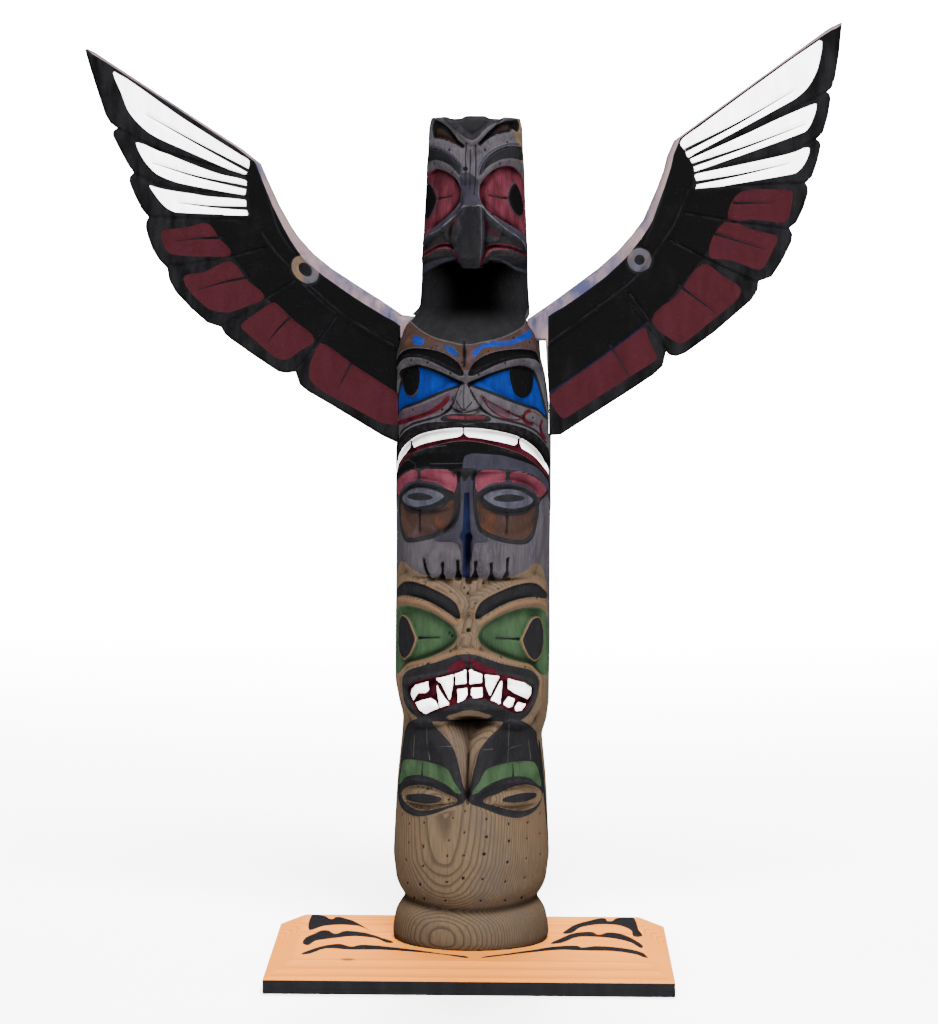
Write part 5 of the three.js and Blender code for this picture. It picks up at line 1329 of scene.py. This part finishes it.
class TOTEM_OT_base(bpy.types.Operator):
    """Builds the bevelled board with its brushed strokes and black edge"""

    bl_idname = "totem.base"
    bl_label = "Base board"

    def execute(self, context):
        s = context.scene.totem_sizes
        half_w, half_d = s.base_width / 2, s.base_depth / 2
        columns, rows = round(s.base_width / BOARD_STEP), round(s.base_depth / BOARD_STEP)
        bm = parameter_grid(columns, rows)
        for v in bm.verts:
            x, y = v.co.x * half_w, v.co.y * half_d
            rise = min(half_w - abs(x), half_d - abs(y)) / s.bevel_run
            soft = 0.5 * (rise + 1 - math.sqrt((rise - 1) ** 2 + 0.0012))
            v.co = Vector((x, y, s.base_thickness - s.bevel_drop * (1 - min(soft, 1.0)))) * MM
        rim = [e for e in bm.edges if e.is_boundary]
        for z in (s.base_thickness - s.bevel_drop - 1.0, 1.0, 0.0):
            grown = bmesh.ops.extrude_edge_only(bm, edges=rim)["geom"]
            rim = [e for e in grown if isinstance(e, bmesh.types.BMEdge) and e.is_boundary]
            for v in {v for e in rim for v in e.verts}:
                inset = BOARD_SOLE_INSET * MM if z == 0.0 else 0.0
                if abs(v.co.x) > (half_w - 0.01) * MM:
                    v.co.x -= math.copysign(inset, v.co.x)
                if abs(v.co.y) > (half_d - 0.01) * MM:
                    v.co.y -= math.copysign(inset, v.co.y)
                v.co.z = z * MM
        bmesh.ops.holes_fill(bm, edges=rim, sides=0)
        board = finished_object("base_board", bm, "base", smooth=False)
        point_outwards(board)
        mesh = board.data
        co = np.empty(len(mesh.vertices) * 3, dtype=np.float32)
        mesh.vertices.foreach_get("co", co)
        co = co.reshape(-1, 3) / MM
        face = PaintedSurface(co[:, 0].astype(float), co[:, 1].astype(float), ("black",))
        for stroke in BASE_STROKES:
            face.mark("fill", "black", "whole", 0, 1, stroke)
        edge = (s.base_thickness - s.bevel_drop - 0.2) - co[:, 2]
        face.fields["black"] = np.maximum(face.fields["black"], edge)
        face.write(mesh)
        mesh.materials.append(board_finish(context.scene.totem_colours))
        return {"FINISHED"}


class TOTEM_OT_pole(bpy.types.Operator):
    """Builds the carved and painted pole"""

    bl_idname = "totem.pole"
    bl_label = "Carved pole"

    def execute(self, context):
        s = context.scene.totem_sizes
        half = FRONT_HALF_ANGLE
        front = round(2 * half / 360 * 2 * math.pi * LOG_RADIUS / s.mesh_step)
        around = front + BACK_COLUMNS
        angles = np.radians(np.concatenate([
            np.linspace(-half, half, front, endpoint=False),
            np.linspace(half, 360 - half, BACK_COLUMNS + 1),
        ]))
        levels = round((POLE_TOP - FOOT_Z) / s.mesh_step)
        crown, sole = CROWN_ROWS, SOLE_ROWS
        rows = sole + levels + crown

        def rough(column, row):
            a = angles[int(column) % around]
            keep = min(row / sole, (rows - row) / crown, 1.0)
            return Vector((math.sin(a) * keep, -math.cos(a) * keep, row * 0.01))

        bm = parameter_grid(around, rows)
        close_shell(bm, rough)
        pole = finished_object("carved_pole", bm, "pole")
        mesh = pole.data
        row, column = read_layer(mesh, "row"), read_layer(mesh, "column")
        theta = angles[np.round(column).astype(int) % around]
        z = FOOT_Z + np.clip(row - sole, 0, levels) / levels * (POLE_TOP - FOOT_Z)
        keep = np.clip(np.minimum(row / sole, (rows - row) / crown), 0.0, 1.0)
        facing = np.cos(theta)
        turned = (theta - math.radians(s.face_turn) + math.pi) % (2 * math.pi) - math.pi
        body, head = LOG_RADIUS * turned, HEAD_RADIUS * turned
        is_head = z >= NECK_Z

        on_face = smooth_step(facing, -0.15, 0.2) * smooth_step(z, 19.5, 24)
        forms = s.carving * on_face * np.where(is_head, head_forms(head, z), body_forms(body, z))
        dip = 3.2 * np.maximum(facing, 0) ** 2 * smooth_step(z, 24, 40) * (1 - smooth_step(z, 52, 76))
        half, shift, ahead, behind = log_section(z + dip)
        neck = smooth_step(z, NECK_Z, 446) * (1 - smooth_step(z, 466, 474))
        ahead = log_section(z + dip - neck * jaw_arch(head))[2]
        square = 1 - 0.13 * smooth_step(z, 452, 470)
        sin = np.sin(theta)
        across = np.sign(sin) * np.abs(sin) ** square
        along = np.sign(facing) * np.abs(facing) ** square
        depth = np.where(facing > 0, ahead, behind)
        side_share = 0.35 + 0.65 * smooth_step(np.abs(along), 0.25, 0.6)

        def carved(relief):
            x = shift + keep * (half + relief * side_share) * across
            return x, POLE_Y - keep * (depth + relief) * along

        turn = math.radians(s.face_turn)
        seen, seen_z = seen_on_log(*carved(forms), z, turn)
        side = smooth_step(np.abs(turned), 1.05, 1.45)
        place, place_z = seen * (1 - side) + body * side, seen_z * (1 - side) + z * side
        faces = PaintedSurface(place, place_z, POLE_PAINTS, POLE_LINES)
        faces.lean = 2.0 - 1.2 * smooth_step(place, 5, 45)
        faces.marks(UPPER_FACE_MARKS, ~is_head)
        faces.lean = np.zeros(place.shape)
        faces.across = hand_place(place)
        faces.marks(HAND_MARKS, ~is_head)
        faces.across = place
        for marks in (FINGER_MARKS, BEAR_MARKS, TAIL_MARKS):
            faces.marks(marks, ~is_head)
        faces.dots(FACE_DOTS + BEAR_DOTS + TAIL_DOTS, ~is_head)
        faces.across = head
        faces.up = z + np.clip(row - sole - levels, 0, crown) * 2.0
        faces.marks(NECK_MARKS, is_head)
        faces.marks(HEAD_MARKS, is_head & (z > HEAD_MARKS_Z))
        faces.dots(HEAD_DOTS, is_head)
        x, y = carved(forms + s.carving * on_face * faces.relief)
        rise = np.where(row > sole + levels, CROWN_RISE * (1 - keep ** 2), 0.0)
        notch = -2.8 * (1 - smooth_step(np.abs(np.abs(x) - EAR_X), 0, 7))
        notch = notch * (row >= sole + levels - 2) * (1 - smooth_step(y, 10, 26))
        x = self.clear_seats(s, x, y, z)
        set_positions(mesh, x, y, z + rise + notch)
        at_row, at_column = np.round(row).astype(int), np.round(column).astype(int) % around
        radius = np.hypot(x - shift, y - POLE_Y)
        inner = smooth_step(z, 22, 27) * (row <= sole + levels)
        grid = (at_row, at_column, rows, around)
        # Depths of the carved hollows, which darken the colour with painted shade and grime
        spreads = {"nick": 1.2, "hollow": 3.0, "cavity": 9.0}
        drops = {name: inner * hollows(radius, *grid, spread) for name, spread in spreads.items()}
        # Painted shadow under the beak, strongest in the middle and fading towards the sides
        under_beak = smooth_step(z, 414, 430) * (z < 457) * (y < 0)
        drops["painted_shadow_under_beak"] = under_beak * (1 - 0.8 * smooth_step(np.abs(x), 8, 34))
        point_outwards(pole)
        faces.write(mesh)
        for name, drop in drops.items():
            write_layer(mesh, name, drop)
        mesh.materials.append(pole_finish(context.scene.totem_colours))
        return {"FINISHED"}

    def clear_seats(self, s, x, y, z):
        """Leaves flat seats and notches in the log's sides where the wings stand."""
        back = s.wing_front + s.root_thickness + SEAT_GAP
        beside = (y > s.wing_front - SEAT_GAP) & (y < back)
        flat = s.wing_root - 0.35
        seat = beside & (z > np.where(x < 0, *SEAT_LOW)) & (z < NECK_Z) & (np.abs(x) > flat)
        x = np.where(seat, np.sign(x) * flat, x)
        run = np.abs(x) - TONGUE_X
        left_top = 421.8 + 0.125 * np.clip(run, 0, 12.6) + 0.7 * np.clip(run - 12.6, 0, 9)
        top = np.where(x < 0, left_top, 421 + 0.7 * run)
        tongue = beside & (z > TONGUE_LOW) & (z < top) & (run > 0)
        return np.where(tongue, np.sign(x) * TONGUE_X, x)


class TOTEM_OT_wings(bpy.types.Operator):
    """Builds both feathered wings"""

    bl_idname = "totem.wings"
    bl_label = "Wings"

    def execute(self, context):
        finish = wing_finish(context.scene.totem_colours)
        self.build(context, "feathered_wing_left", "wing_left", -1, LEFT_RUNS, LEFT_WING_MARKS, finish)
        self.build(context, "feathered_wing_right", "wing_right", 1, RIGHT_RUNS, RIGHT_WING_MARKS, finish)
        return {"FINISHED"}

    def rulings(self, runs, step):
        """Matched points down both edges of the wing, evenly spaced in each run."""
        lower, upper = [], []
        for feather, leading in runs:
            a, b = np.array(feather, float), np.array(leading, float)
            below, above = (
                np.concatenate([[0], np.cumsum(np.hypot(*np.diff(p, axis=0).T))]) for p in (a, b))
            count = max(2, round(max(below[-1], above[-1] * 0.8) / step))
            t = np.arange(count) / count
            for target, p, run in ((lower, a, below), (upper, b, above)):
                at = t * run[-1]
                target.append(np.column_stack([np.interp(at, run, p[:, k]) for k in (0, 1)]))
        lower.append(np.array([runs[-1][0][-1]], float))
        upper.append(np.array([runs[-1][1][-1]], float))
        return np.vstack(lower), np.vstack(upper)

    def build(self, context, name, node, side, runs, marks, finish):
        s = context.scene.totem_sizes
        lower, upper = self.rulings(runs, WING_STEP)
        front, edge, back = 72, 5, 22
        # Position round the section: 0 to 1 over the front, to 2 over the top edge, to 3 over
        # the back and to 4 under the feather ends
        ring = np.concatenate([
            np.linspace(0, 1, front, endpoint=False), np.linspace(1, 2, edge, endpoint=False),
            np.linspace(2, 3, back, endpoint=False), np.linspace(3, 4, edge, endpoint=False),
        ])
        around, rows = len(ring), len(lower) + 1

        def rough(column, row):
            a = 2 * math.pi * (int(column) % around) / around
            keep = 0.0 if row in (0, rows) else 1.0
            return Vector((math.sin(a) * keep, math.cos(a) * keep, row * 0.01))

        bm = parameter_grid(around, rows)
        close_shell(bm, rough)
        wing = finished_object(name, bm, node)
        mesh = wing.data
        row = np.round(read_layer(mesh, "row")).astype(int)
        turn = ring[np.round(read_layer(mesh, "column")).astype(int) % around]
        at = np.clip(row - 1, 0, len(lower) - 1)
        end = (row == 0) | (row == rows)
        up = np.where(turn <= 1, turn, np.where(turn <= 2, 1.0, np.where(turn <= 3, 3 - turn, 0.0)))
        up = np.where(end, 0.5, up)
        d = lower[at, 0] * (1 - up) + upper[at, 0] * up
        z = lower[at, 1] * (1 - up) + upper[at, 1] * up
        through = np.where(turn <= 2, np.clip(turn - 1, 0.0, 1.0), np.where(turn <= 3, 1.0, 4 - turn))
        through = np.where(end, 0.5, through)
        out = np.maximum(d - s.wing_root, 0)
        thick = s.root_thickness + (s.tip_thickness - s.root_thickness) * out / (s.tip_distance - s.wing_root)
        on_front = (turn <= 1) & ~end
        width = np.hypot(*(upper[at] - lower[at]).T)
        margin = np.minimum(up, 1 - up) * width
        rounding = np.where(on_front, 0.9 * (1 - smooth_step(margin, 0.0, 1.8)), 0.0)
        rounding += np.where(on_front, 0.45 * np.clip(3.0 - (1 - up) * width, 0, 3.0), 0.0)
        face = PaintedSurface(d, z, WING_PAINTS, WING_LINES)
        face.fields["black"][:] = FAR
        face.marks(marks, on_front)
        top_edge = (turn > 1.02) & (turn < 2.0) & ~end
        strip = np.where(top_edge, 2.0, np.where(on_front, -FAR, -1.2))
        wide = np.interp(d, [44, 56, 112, 121, 130, 138], [6.4, 7.4, 6.0, 4.2, 3.6, 2.7])
        above = (1 - up) * width
        strip = np.where(on_front & (up > 0.6), wide - above, strip)
        strip = np.where(on_front, np.maximum(strip, np.clip(47.2 - d, -FAR, FAR)), strip)
        face.lay("strip", slice(None), strip, 0, 1)
        relief = face.relief * s.carving * smooth_step(margin, 0.0, 2.0)
        y = s.wing_front + out * math.tan(math.radians(s.wing_sweep)) + through * thick
        y = y + np.where(on_front, rounding - relief + WING_FACE_SET_BACK, 0.0)
        set_positions(mesh, side * d, y, z)
        point_outwards(wing)
        face.write(mesh)
        mesh.materials.append(finish)


class TOTEM_OT_stage(bpy.types.Operator):
    """Sets the floor, the studio lights and the camera"""

    bl_idname = "totem.stage"
    bl_label = "Stage, lights and camera"

    def execute(self, context):
        stage = context.scene.totem_stage
        self.backdrop(stage)
        for lamp in LAMPS:
            self.light(*lamp)
        world = bpy.data.worlds.new("studio")
        world.use_nodes = True
        background = world.node_tree.nodes["Background"]
        background.inputs["Color"].default_value = (1, 1, 1, 1)
        background.inputs["Strength"].default_value = WORLD_STRENGTH
        context.scene.world = world
        self.camera(stage)
        return {"FINISHED"}

    def backdrop(self, stage):
        size = stage.floor_size
        bm = bmesh.new()
        bmesh.ops.create_grid(bm, x_segments=2, y_segments=stage.floor_segments * 2, size=size / 2)
        radius = size * 0.12
        start = size * 0.28
        for v in bm.verts:
            past = v.co.y - start
            if past > 0:
                angle = min(past / radius, math.pi / 2)
                v.co.y = start + radius * math.sin(angle)
                v.co.z = radius * (1 - math.cos(angle)) + max(0.0, past - radius * math.pi / 2)
        mesh = bpy.data.meshes.new("floor")
        bm.to_mesh(mesh)
        bm.free()
        floor = bpy.data.objects.new("floor", mesh)
        mesh.polygons.foreach_set("use_smooth", [True] * len(mesh.polygons))
        mesh.materials.append(backdrop_finish())
        bpy.context.scene.collection.objects.link(floor)

    def light(self, name, place, target, size, power):
        data = bpy.data.lights.new(name, "AREA")
        data.shape = "DISK"
        data.size = size
        data.energy = power
        lamp = bpy.data.objects.new(name, data)
        lamp.location = place
        lamp.rotation_euler = (Vector(target) - Vector(place)).to_track_quat("-Z", "Y").to_euler()
        bpy.context.scene.collection.objects.link(lamp)

    def camera(self, stage):
        a, e, r = (math.radians(v) for v in (stage.azimuth, stage.pitch, stage.roll))
        back = Vector((math.sin(a) * math.cos(e), -math.cos(a) * math.cos(e), math.sin(e)))
        data = bpy.data.cameras.new("camera")
        data.lens = stage.focal_length
        data.sensor_width = SENSOR_WIDTH
        camera = bpy.data.objects.new("camera", data)
        target = Vector(CAMERA_TARGET) * MM
        camera.location = target + back * stage.distance
        aim = (-back).to_track_quat("-Z", "Y").to_matrix()
        camera.rotation_euler = (aim @ Matrix.Rotation(r, 3, "Z")).to_euler()
        bpy.context.scene.collection.objects.link(camera)
        bpy.context.scene.camera = camera


class TOTEM_PT_panel(bpy.types.Panel):
    bl_idname = "TOTEM_PT_panel"
    bl_label = "Totem pole"
    bl_space_type = "VIEW_3D"
    bl_region_type = "UI"
    bl_category = "Totem"

    def draw(self, context):
        for group in ("totem_sizes", "totem_colours", "totem_stage"):
            box = self.layout.box()
            settings = getattr(context.scene, group)
            for key in settings.__annotations__:
                box.prop(settings, key)
        for operator in ("totem.base", "totem.pole", "totem.wings", "totem.stage"):
            self.layout.operator(operator)


CLASSES = (
    TotemSizes, TotemColours, TotemStage, TOTEM_OT_base, TOTEM_OT_pole, TOTEM_OT_wings,
    TOTEM_OT_stage, TOTEM_PT_panel,
)


def register():
    for cls in CLASSES:
        bpy.utils.register_class(cls)
    bpy.types.Scene.totem_sizes = PointerProperty(type=TotemSizes)
    bpy.types.Scene.totem_colours = PointerProperty(type=TotemColours)
    bpy.types.Scene.totem_stage = PointerProperty(type=TotemStage)


def unregister():
    del bpy.types.Scene.totem_sizes
    del bpy.types.Scene.totem_colours
    del bpy.types.Scene.totem_stage
    for cls in reversed(CLASSES):
        bpy.utils.unregister_class(cls)


def main():
    register()
    bpy.ops.totem.base()
    bpy.ops.totem.pole()
    bpy.ops.totem.wings()
    bpy.ops.totem.stage()


if __name__ == "__main__":
    main()
